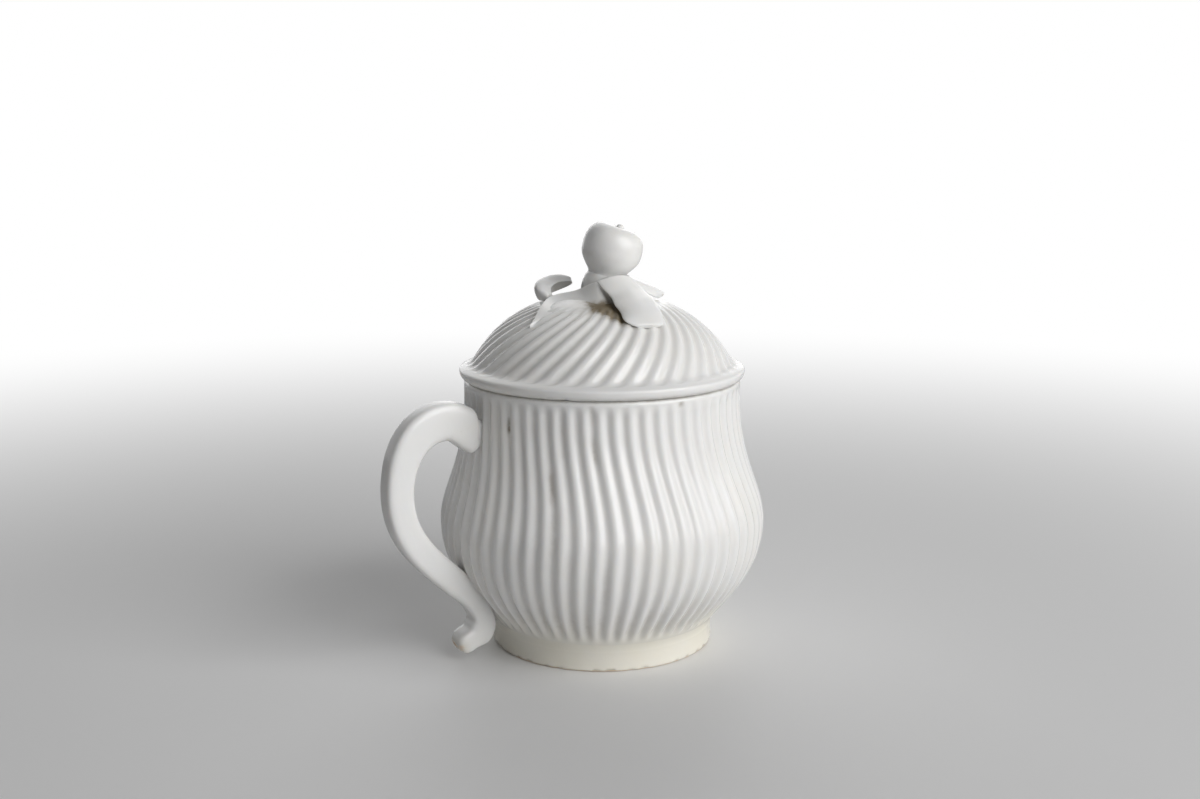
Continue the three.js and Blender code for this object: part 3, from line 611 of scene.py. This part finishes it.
# Its foot is a full half round, so the two quarters of the outline meet in the middle of the wall
FLANGE_EDGE = 1.1
FLANGE_WALL = 2 * FLANGE_EDGE
FLANGE_BORE = FLANGE_RADIUS - FLANGE_WALL
edge_height = FLANGE_FOOT + FLANGE_EDGE
flange_outline = np.concatenate([
    bezier([(FLANGE_BORE, RIM_HEIGHT), (FLANGE_BORE, edge_height)], steps=8),
    bezier([(FLANGE_BORE, edge_height), (FLANGE_BORE, FLANGE_FOOT),
            (FLANGE_BORE + FLANGE_EDGE, FLANGE_FOOT)], steps=8)[1:],
    bezier([(FLANGE_RADIUS - FLANGE_EDGE, FLANGE_FOOT), (FLANGE_RADIUS, FLANGE_FOOT),
            (FLANGE_RADIUS, edge_height)], steps=8)[1:],
    bezier([(FLANGE_RADIUS, edge_height), (FLANGE_RADIUS, RIM_HEIGHT)], steps=8)[1:],
])
flange_grid = around(flange_outline, FLANGE_COLUMNS)
at_flange_foot = bell(flange_grid[..., 2] - FLANGE_FOOT, FLANGE_BARE_REACH)
flange_stain = FLANGE_STAIN * at_flange_foot * chips(ring_angles(FLANGE_COLUMNS))
flange_marks = marks(cream=FLANGE_CREAM, stain=flange_stain, bare=FLANGE_BARE * at_flange_foot)
flange_piece = skin("lid_flange_turned", on_axis(flange_grid), flange_marks, looped=True)
finish_piece(flange_piece, glaze("flange_glaze"), "lid_seat", "lid_flange")

# Lid dome
# The cover is moulded in the same paste: a half-round lip, and forty reeds that spiral up the dome
# The glaze pools in its grooves, where shade is painted in too, and a chip on the lip shows the paste.
LID_TURN = -30
LIP_RADIUS = 34.2
LIP_UNDERCUT = 1.25
LIP_MIDDLE = 1.9
LIP_PULL = 0.9
LIP_CORNER = (-0.5, 0.1)
LIP_HOLLOW = (1.6, -1.3)
LIP_SWEEP = (0.35, -0.4)
SEAT_CORNER = 0.5
LIP_STAIN = 0.4
LIP_STAIN_SPREAD = 0.55
LIP_CHIP = 0.7
LIP_CHIP_BEARING = -14.4
LIP_CHIP_WIDTH = 0.9
LIP_CHIP_BARE = 0.2
SEAT_LINE = 0.06
DOME_RADIUS = 31.3
DOME_SPRING = 4.0
DOME_RISE = 16.0
DOME_SHOULDER = 0.753
DOME_START = 0.14
DOME_FOOT = RIM_HEIGHT + DOME_SPRING
DOME_TOP = DOME_FOOT + DOME_RISE
LID_WALL = 2.6
LID_REEDS = 40
LID_REED_DEPTH = 0.5
LID_REED_SHARPNESS = 1.2
LID_REED_TWIST = 1.42
LID_REED_PHASE = -98.4
REED_RUN_IN = 1.8
REED_START = 0.2
REED_DEEPENING = 2.2
REED_DEEPENING_POWER = 0.6
CROWN_RADIUS = 13.5
CROWN_FADE = 5.0

# Stains on the lid, those along the front leaf's left edge darkened further to paint that edge's shadow:
# bearing from its front, distance from its axis, size and strength
LID_STAINS_AND_SHADOW = [
    (-25, 7, 3.0, 0.5),
    (-4, 9.5, 3.3, 1.4),
    (3, 12.3, 2.9, 1.6),
    (8, 15, 2.2, 1.7),
    (11.5, 17.4, 1.6, 1.6),
    (15.5, 19.6, 1.2, 1.2),
    (-6, 13.8, 2.5, 0.8),
    (-75, 24, 1.2, 0.3),
    (150, 27, 1.5, 0.35),
]


def stain_and_shadow_spots(right, forward):
    """Stain on the lid, darkened with painted shadow along the front leaf's left edge: for each spot a bell
    about its own middle.
    """
    stain = 0
    for bearing, reach, size, strength in LID_STAINS_AND_SHADOW:
        angle = math.radians(bearing)
        stain = stain + strength * bell(np.hypot(right - reach * math.sin(angle),
                                                 forward - reach * math.cos(angle)), size)
    return stain


lid_under = RIM_HEIGHT + SEAT_LINE
lip_middle = lid_under + LIP_MIDDLE
dome_outline = bezier([
    (DOME_RADIUS, DOME_FOOT),
    (DOME_RADIUS - DOME_SPRING / 2, DOME_FOOT + DOME_START * DOME_RISE),
    (DOME_SHOULDER * DOME_RADIUS, DOME_TOP),
    (POLE_RADIUS, DOME_TOP),
], steps=70)
lip_under = bezier([
    (LIP_RADIUS - LIP_UNDERCUT, lid_under),
    (LIP_RADIUS + LIP_CORNER[0], lid_under + LIP_CORNER[1]),
    (LIP_RADIUS, lip_middle - LIP_PULL),
    (LIP_RADIUS, lip_middle),
], steps=12)
lip_over = bezier([
    (LIP_RADIUS, lip_middle),
    (LIP_RADIUS, lip_middle + LIP_PULL),
    (DOME_RADIUS + LIP_HOLLOW[0], DOME_FOOT + LIP_HOLLOW[1]),
    (DOME_RADIUS + LIP_SWEEP[0], DOME_FOOT + LIP_SWEEP[1]),
    (DOME_RADIUS, DOME_FOOT),
], steps=20)
lid_outside = np.concatenate([lip_under, lip_over[1:], dome_outline[1:]])
lid_way = way_along(lid_outside)
dome_start = lid_way[len(lip_under) + len(lip_over) - 2]
way_over_lip = np.maximum(lid_way - dome_start + REED_RUN_IN, 0)
lid_turns = LID_REED_PHASE + LID_REED_TWIST * way_over_lip
reed_start = np.clip((way_over_lip - REED_START) / REED_DEEPENING, 0, 1) ** REED_DEEPENING_POWER
reed_end = np.clip((lid_outside[:, 0] - CROWN_RADIUS) / CROWN_FADE, 0, 1)
lid_depth = LID_REED_DEPTH * reed_start * reed_end**2 * (3 - 2 * reed_end)
lid_outer, lid_groove = reeded(lid_outside, LID_REEDS, lid_depth, lid_turns, LID_REED_SHARPNESS)
dome_inside = dome_outline - LID_WALL * square_to(dome_outline)
dome_inside = dome_inside[dome_inside[:, 0] < FLANGE_BORE][::3]
lid_inside = np.concatenate([
    bezier([(LIP_RADIUS - LIP_UNDERCUT - SEAT_CORNER, lid_under), (FLANGE_BORE, lid_under)], steps=4),
    bezier([(FLANGE_BORE, lid_under + SEAT_CORNER), (FLANGE_BORE, dome_inside[0, 1])], steps=4)[:-1],
    dome_inside,
    [(POLE_RADIUS, DOME_TOP - LID_WALL)],
])
inner_grid = around(lid_inside, LID_REEDS * COLUMNS_PER_REED, lid_turns[0])
lid_grid = np.concatenate([lid_outer[::-1], inner_grid])
lid_groove = np.pad(lid_groove[::-1], ((0, len(lid_inside)), (0, 0)))
outer_face = (np.arange(len(lid_grid)) < len(lid_outer))[:, None]
# Stains on the lid, with painted shadow beside the front leaf's left edge
lid_stain_and_shadow = outer_face * stain_and_shadow_spots(lid_grid[..., 0], -lid_grid[..., 1])
lid_bearing = np.arctan2(lid_grid[..., 0], -lid_grid[..., 1])
at_lip = outer_face * bell(lid_grid[..., 2] - lid_under, LIP_STAIN_SPREAD)
from_chip = (lid_bearing - math.radians(LIP_CHIP_BEARING)) * LIP_RADIUS
chip = at_lip * bell(from_chip, LIP_CHIP_WIDTH)
lid_grid[..., :2] *= 1 - (LIP_CHIP / LIP_RADIUS * chip)[..., None]
lid_stain_and_shadow = lid_stain_and_shadow + LIP_STAIN * at_lip * (1 - chip)
lid_marks = marks(groove=lid_groove, stain=lid_stain_and_shadow, bare=LIP_CHIP_BARE * chip)
lid_piece = skin("lid_dome_reeded", on_axis(lid_grid, LID_TURN), lid_marks)
finish_piece(lid_piece, glaze("lid_glaze"), "lid", "lid_dome")

# Finial stalk
# A stub of clay shaped by hand like a low bulb, narrowest under the fruit.
# It is luted on the crown of the lid while wet, and leans with the fruit that it carries.
STALK_LEAN = 10
STALK_BASE = (0.5, DOME_TOP - 1.3)
STALK_BEND = (0.4, DOME_TOP + 2.2)
STALK_TOP = (1.2, DOME_TOP + 5.0)
STALK_BASE_RADIUS = 5.7
STALK_TOP_RADIUS = 4.35
STALK_STRAIGHT = 1.8
STALK_CUT = 0.3
STALK_RINGS = 40
STALK_SIDES = 72
lean = np.array([math.sin(math.radians(STALK_LEAN)), math.cos(math.radians(STALK_LEAN))])
stalk_middle = bezier([STALK_BASE, STALK_BEND, STALK_TOP - lean * STALK_STRAIGHT,
                       STALK_TOP - lean * STALK_CUT], STALK_RINGS)
stalk_narrowing = np.linspace(0, 1, STALK_RINGS) ** 2
stalk_radius = STALK_BASE_RADIUS + (STALK_TOP_RADIUS - STALK_BASE_RADIUS) * stalk_narrowing[:, None]
stalk_ring = ring_angles(STALK_SIDES)
stalk_right, stalk_up = beside(stalk_middle, square_to(stalk_middle), stalk_radius * np.cos(stalk_ring))
stalk_grid = np.stack([stalk_right, stalk_radius * np.sin(stalk_ring), stalk_up], axis=-1)
stalk_piece = skin("finial_stalk_bent", on_axis(stalk_grid, LID_TURN), marks())
finish_piece(stalk_piece, glaze("stalk_glaze"), "lid", "finial_stalk")

# Finial fruit
# A round fruit of the same clay, rolled by hand and pressed on the stalk.
# It swells above the stalk, leans over to the right, and has a shallow dimple for its bud.
FRUIT_RADIUS = 7.2
FRUIT_BASE_RADIUS = 4.3
FRUIT_BASE = -1.0
FRUIT_NECK = [(0.3, FRUIT_BASE), (0.05, -0.2), (-0.1, 0.6)]
FRUIT_LENGTH = 11.0
FRUIT_WAIST = 5.9
FRUIT_BELLY = (0.34, 0.66)
FRUIT_CHEEK = 0.62
FRUIT_SHOULDER = 3.0
FRUIT_SHOULDER_PULL = 0.6
FRUIT_DIMPLE = 0.45
DIMPLE_EDGE = 1.5
DIMPLE_SIDE = 1.2
FRUIT_COLUMNS = 96
FRUIT_TOP_LEAN = 19


def leaning(grid, distance=0.0):
    """Stands a turned grid on the stalk, a distance up an axis that starts at the stalk's lean and bends on
    evenly: a ring's middle lies along the mean of the stalk's lean and its own, and it tips by its own."""
    up = grid[..., 2] + distance
    tip = np.radians(STALK_LEAN + (FRUIT_TOP_LEAN - STALK_LEAN) * up / FRUIT_LENGTH)
    mean = (tip + math.radians(STALK_LEAN)) / 2
    right = STALK_TOP[0] + up * np.sin(mean) + grid[..., 0] * np.cos(tip)
    height = STALK_TOP[1] + up * np.cos(mean) - grid[..., 0] * np.sin(tip)
    return np.stack([right, grid[..., 1], height], axis=-1)


dimple_height = FRUIT_LENGTH - FRUIT_DIMPLE

# The neck's points lie so far outside the base radius and so high, and the belly's at shares of the waist
fruit_neck = [(FRUIT_BASE_RADIUS + out, up) for out, up in FRUIT_NECK]
fruit_belly = [(FRUIT_RADIUS, FRUIT_WAIST * share) for share in FRUIT_BELLY]
fruit_outline = np.concatenate([
    bezier([(POLE_RADIUS, FRUIT_BASE), fruit_neck[0]], steps=4)[:-1],
    bezier([*fruit_neck, *fruit_belly, (FRUIT_RADIUS, FRUIT_WAIST)], steps=36),
    bezier([
        (FRUIT_RADIUS, FRUIT_WAIST),
        (FRUIT_RADIUS, FRUIT_WAIST + FRUIT_CHEEK * (FRUIT_LENGTH - FRUIT_WAIST)),
        (FRUIT_SHOULDER + FRUIT_SHOULDER_PULL * (FRUIT_RADIUS - FRUIT_SHOULDER), FRUIT_LENGTH),
        (FRUIT_SHOULDER, FRUIT_LENGTH),
    ], steps=28)[1:],
    bezier([(FRUIT_SHOULDER, FRUIT_LENGTH), (DIMPLE_EDGE, FRUIT_LENGTH), (DIMPLE_SIDE, dimple_height),
            (POLE_RADIUS, dimple_height)], steps=10)[1:],
])
fruit_grid = leaning(around(fruit_outline, FRUIT_COLUMNS))
fruit_piece = skin("finial_fruit_round", on_axis(fruit_grid, LID_TURN), marks())
finish_piece(fruit_piece, glaze("fruit_glaze"), "lid", "finial_fruit")

# Finial calyx
# The dried bud in the fruit's dimple: a crumb of clay pinched to a blunt point.
# It is stuck in with slip, a little off the middle.
CALYX_RADIUS = 0.95
CALYX_HEIGHT = 1.15
CALYX_ROOT = -0.3
CALYX_SWELL = (1.5, -0.2)
CALYX_WAIST = 0.6
CALYX_BLUNTNESS = 0.9
CALYX_SHIFT = (0.35, 0, 0)
CALYX_POLE = 0.1
CALYX_COLUMNS = 32
calyx_outline = bezier([
    (CALYX_POLE, CALYX_ROOT),
    (CALYX_RADIUS * CALYX_SWELL[0], CALYX_SWELL[1]),
    (CALYX_RADIUS, CALYX_HEIGHT * CALYX_WAIST),
    (CALYX_RADIUS * CALYX_BLUNTNESS, CALYX_HEIGHT),
    (CALYX_POLE, CALYX_HEIGHT),
], steps=24)
calyx_grid = leaning(around(calyx_outline, CALYX_COLUMNS) + np.array(CALYX_SHIFT), dimple_height)
calyx_piece = skin("finial_calyx_bud", on_axis(calyx_grid, LID_TURN), marks())
finish_piece(calyx_piece, glaze("calyx_glaze"), "lid", "finial_calyx")

# Leaves
# Four leaves rolled thin, cut with a soft edge and laid on the crown round the stalk while wet.
# Each is a blade between two edges, and rust crept into some of them; at the left leaf's root the same mark
# also paints shade.
LEAF_SPAN = 23
LEAF_RISE = 5
LEAF_THICKNESS = 1.3
LEAF_THINNING = 0.3
LEAF_FLATNESS = 0.7
TIP_THINNING = 0.12
TIP_LEAST = 0.0009
LEAF_SIDES = 64
LEAF_STEPS = 72
LEAF_LOBES = 3
RUST_AND_SHADE_WIDTH = 0.35

# A point of an edge is a bearing from the lid's front, its distance from the axis as a share of LEAF_SPAN,
# and its height over the dome as a share of LEAF_RISE. The bulge is that of the root, the middle and the tip,
# as shares of LEAF_RISE. Rust, with painted shade at the left leaf's root, is its place across the blade and
# along it, its length and its strength.
LEAVES = {
    "leaf_front": {
        "edges": [
            [(-10, 0.305, 0.78), (9, 0.53, 0.36), (12.5, 0.705, 0.2), (15, 0.87, 0.12), (21, 0.95, 0.04)],
            [(66, 0.31, 0.9), (69, 0.48, 0.36), (57, 0.65, 0.16), (47, 0.81, 0.1), (40.5, 0.965, 0.04)],
        ],
        "bulge": (0.12, 0.24, 0.08),
        "scallop": 0.03,
        "tip_power": 40,
        "rust_and_shade": (-1, 0.55, 0.16, 0.3),
    },
    "leaf_left": {
        "edges": [
            [(20, 0.3, 0.6), (-10, 0.3, 0.76), (-60, 0.31, 0.28), (-78, 0.53, 0.2), (-60, 0.73, 0.16),
             (-48, 0.99, 0.06)],
            [(26, 0.5, -0.16), (2, 0.58, -0.16), (-18, 0.62, -0.18), (-34, 0.7, -0.18), (-43, 0.78, -0.14),
             (-46, 0.975, 0)],
        ],
        "bulge": (-0.2, -0.14, 0.04),
        "scallop": 0.01,
        "tip_power": 6,
        # Rust and painted shade at the root, under the front leaf's edge
        "rust_and_shade": (0.6, 0.22, 0.2, 1.6),
    },
    "leaf_back": {
        "edges": [
            [(-88, 0.515, 0.12), (-94, 0.53, 0.52), (-104, 0.475, 0.68), (-115, 0.35, 0.66)],
            [(-83, 0.575, 0), (-97, 0.67, 0.12), (-118, 0.59, 0.24), (-132, 0.415, 0.4)],
        ],
        "bulge": (0.06, 0.58, 0.2),
        "scallop": 0.02,
        "tip_power": 12,
        "rust_and_shade": (1, 0.5, 0.3, 0.3),
    },
    "leaf_right": {
        "edges": [
            [(62, 0.315, 0.68), (72, 0.435, 0.36), (84, 0.535, 0.16), (100, 0.6, 0.04)],
            [(100, 0.25, 0.82), (100, 0.39, 0.66), (102, 0.535, 0.52), (105, 0.675, 0.42)],
        ],
        "bulge": (0.04, 0.06, 0.02),
        "scallop": 0.02,
        "tip_power": 90,
        "rust_and_shade": (0, 1.0, 0.08, 0.4),
    },
}

# Places along a leaf, closer together towards its tip, and round it, from one edge to the other and back
along_leaf = np.sin(np.linspace(0, np.pi / 2, LEAF_STEPS))
round_leaf = ring_angles(LEAF_SIDES)
across_leaf = -np.cos(round_leaf)


def over_dome(bearing, reach_share, lift_share):
    """A point of a leaf's edge, in its place above the dome."""
    angle, reach = math.radians(bearing), LEAF_SPAN * reach_share
    height = np.interp(reach, dome_outline[::-1, 0], dome_outline[::-1, 1]) + LEAF_RISE * lift_share
    return np.array([reach * math.sin(angle), -reach * math.cos(angle), height])


def through(points, share):
    """The Catmull-Rom curve through points at equal steps: in each span a cubic that leaves and arrives
    along half the chord between the neighbours, with the end points mirrored to give theirs."""
    points = np.array(points)
    padded = np.concatenate([2 * points[:1] - points[1:2], points, 2 * points[-1:] - points[-2:-1]])
    place = share * (len(points) - 1)
    span = np.minimum(place.astype(int), len(points) - 2)
    t = (place - span)[:, None]
    before, low, high, after = (padded[span + k] for k in range(4))
    curve = 2 * before - 5 * low + 4 * high - after + t * (3 * (low - high) + after - before)
    return low + 0.5 * t * (high - before + t * curve)


def leaf_grid(edges, bulge, scallop, tip_power):
    """Rings along a leaf: the middle of its two edges, plus the half way between them times a cosine round
    the ring, plus a rise square to the blade of a parabola for the bulge and a flattened sine for the
    thickness. The bulge follows a parabola through its root, middle and tip. The edges are scalloped by a
    sine, and the tip is rounded by narrowing both."""
    share = along_leaf[:, None]
    root, belly, tip = bulge
    swell = root * (1 - share) * (1 - 2 * share) + belly * 4 * share * (1 - share)
    swell = swell + tip * share * (2 * share - 1)
    first, second = (through([over_dome(*point) for point in edge], along_leaf) for edge in edges)
    middle, half = (first + second) / 2, (second - first) / 2
    above = np.cross(np.gradient(middle, axis=0), half)
    above /= np.linalg.norm(above, axis=1, keepdims=True)
    narrow = np.sqrt(np.clip(1 - share**tip_power, TIP_LEAST, 1))
    lobes = 1 + scallop * np.sin(2 * np.pi * LEAF_LOBES * share)
    flattened = np.sign(np.sin(round_leaf)) * np.abs(np.sin(round_leaf)) ** LEAF_FLATNESS
    thickness = LEAF_THICKNESS * (1 - LEAF_THINNING * share) * narrow**TIP_THINNING
    reach = across_leaf * lobes * narrow
    rise = LEAF_RISE * swell * (1 - across_leaf**2) + thickness / 2 * flattened
    return middle[:, None] + half[:, None] * reach[..., None] + above[:, None] * rise[..., None]


def leaf_rust_and_shade(across, along, length, strength):
    """Rust on a leaf, which at the left leaf's root also paints shade: a bell about a line along the blade,
    which lies from -1 to 1 across it, times one about a share of its length."""
    return strength * bell(across_leaf - across, RUST_AND_SHADE_WIDTH) * bell(along_leaf[:, None] - along, length)


for leaf_name, leaf in LEAVES.items():
    blade = leaf_grid(leaf["edges"], leaf["bulge"], leaf["scallop"], leaf["tip_power"])
    leaf_piece = skin(leaf_name + "_blade", on_axis(blade, LID_TURN), marks(stain=leaf_rust_and_shade(*leaf["rust_and_shade"])))
    finish_piece(leaf_piece, glaze(leaf_name + "_glaze"), "lid", leaf_name)

# Studio floor
# A plain pale floor that shows the pot's shadow.
# To the camera it fades to white away from the pot, so that it meets the background without a line.
FLOOR_SIZE = 3.0
FLOOR_COLOUR = (0.74, 0.74, 0.74, 1)
FLOOR_ROUGHNESS = 0.6
FADE_START = 0.12
FADE_END = 0.55
floor_mesh = bpy.data.meshes.new("floor")
floor_corners = np.array([(-1, -1, 0), (1, -1, 0), (1, 1, 0), (-1, 1, 0)]) * FLOOR_SIZE
floor_mesh.from_pydata(floor_corners.tolist(), [], [(0, 1, 2, 3)])
floor = bpy.data.objects.new("floor", floor_mesh)
bpy.context.scene.collection.objects.link(floor)
floor_material = bpy.data.materials.new("floor_pale")
floor_material.use_nodes = True
floor_tree = floor_material.node_tree
floor_shader = floor_tree.nodes["Principled BSDF"]
floor_shader.inputs["Base Color"].default_value = FLOOR_COLOUR
floor_shader.inputs["Roughness"].default_value = FLOOR_ROUGHNESS
floor_place = node(floor_tree, "TexCoord").outputs["Object"]
floor_far = node(floor_tree, "VectorMath", {0: floor_place}, operation="LENGTH").outputs["Value"]
floor_white = node(floor_tree, "Emission", {"Color": (1, 1, 1, 1), "Strength": 1.0}).outputs[0]
floor_seen = node(floor_tree, "LightPath").outputs["Is Camera Ray"]
floor_fade = joined(floor_tree, "MULTIPLY", ramped(floor_tree, floor_far, FADE_START, FADE_END), floor_seen)
floor_mix = node(floor_tree, "MixShader", {0: floor_fade, 1: floor_shader.outputs[0], 2: floor_white})
floor_tree.links.new(floor_mix.outputs[0], floor_tree.nodes["Material Output"].inputs["Surface"])
floor_mesh.materials.append(floor_material)

# Camera
# It looks down a little at the pot's front, with the handle to the left.
# It stands a third of a metre away, which opens the rings of the foot, the rim and the lid to ellipses.
VIEW_BEARING = -30
CAMERA_DISTANCE = 0.3457
CAMERA_HEIGHT = 0.1267
CAMERA_SHIFT = -0.0005
CAMERA_PITCH = 11.07
CAMERA_LENS = 43.71
CAMERA_SENSOR = 36
view_angle = math.radians(-VIEW_BEARING)
to_right = Vector((math.cos(view_angle), -math.sin(view_angle), 0))
away = Vector((math.sin(view_angle), math.cos(view_angle), 0))
axis_place = Vector((POT_AXIS_X * MILLIMETRE, 0, 0))
pitch = math.radians(CAMERA_PITCH)
camera = bpy.data.objects.new("camera", bpy.data.cameras.new("camera"))
bpy.context.scene.collection.objects.link(camera)
camera.data.lens = CAMERA_LENS
camera.data.sensor_width = CAMERA_SENSOR
forward = away * math.cos(pitch) - Vector((0, 0, math.sin(pitch)))
upward = away * math.sin(pitch) + Vector((0, 0, math.cos(pitch)))
position = axis_place - away * CAMERA_DISTANCE + to_right * CAMERA_SHIFT + Vector((0, 0, CAMERA_HEIGHT))
turned = Matrix((to_right, upward, -forward)).transposed().to_4x4()
camera.matrix_world = Matrix.Translation(position) @ turned
bpy.context.scene.camera = camera
bpy.context.scene.view_settings.view_transform = "Standard"

# Background and lamps
# White where the camera and reflections see it, dim where it lights. The key is a wide lamp in front on
# the right, and a weaker one behind lights the side away from the view.
WORLD_LIGHT = 0.06
POT_MIDDLE = 0.05
world = bpy.data.worlds.new("studio")
bpy.context.scene.world = world
world.use_nodes = True
world_tree = world.node_tree
world_path = node(world_tree, "LightPath").outputs
world_seen = joined(world_tree, "MAXIMUM", world_path["Is Camera Ray"], world_path["Is Glossy Ray"],
                    world_path["Is Transmission Ray"])
world_strength = ramped(world_tree, world_seen, 0.0, 1.0, WORLD_LIGHT, 1.0)
world_tree.links.new(world_strength, world_tree.nodes["Background"].inputs["Strength"])
world_tree.nodes["Background"].inputs["Color"].default_value = (1, 1, 1, 1)


def area_lamp(name, right, distance, height, size, radiance):
    """A square lamp facing the pot's middle. Its power gives a white surface that faces it that radiance."""
    data = bpy.data.lights.new(name, "AREA")
    data.shape = "SQUARE"
    data.size = size
    lamp = bpy.data.objects.new(name, data)
    bpy.context.scene.collection.objects.link(lamp)
    target = axis_place + Vector((0, 0, POT_MIDDLE))
    lamp.location = axis_place + to_right * right - away * distance + Vector((0, 0, height))
    reach = (lamp.location - target).length
    data.energy = radiance * math.pi**2 * reach**2
    lamp.rotation_mode = "QUATERNION"
    lamp.rotation_quaternion = (lamp.location - target).to_track_quat("Z", "Y")


area_lamp("key", right=0.77, distance=0.60, height=0.57, size=1.0, radiance=0.93)
area_lamp("back", right=-0.15, distance=-0.90, height=0.50, size=1.05, radiance=0.28)
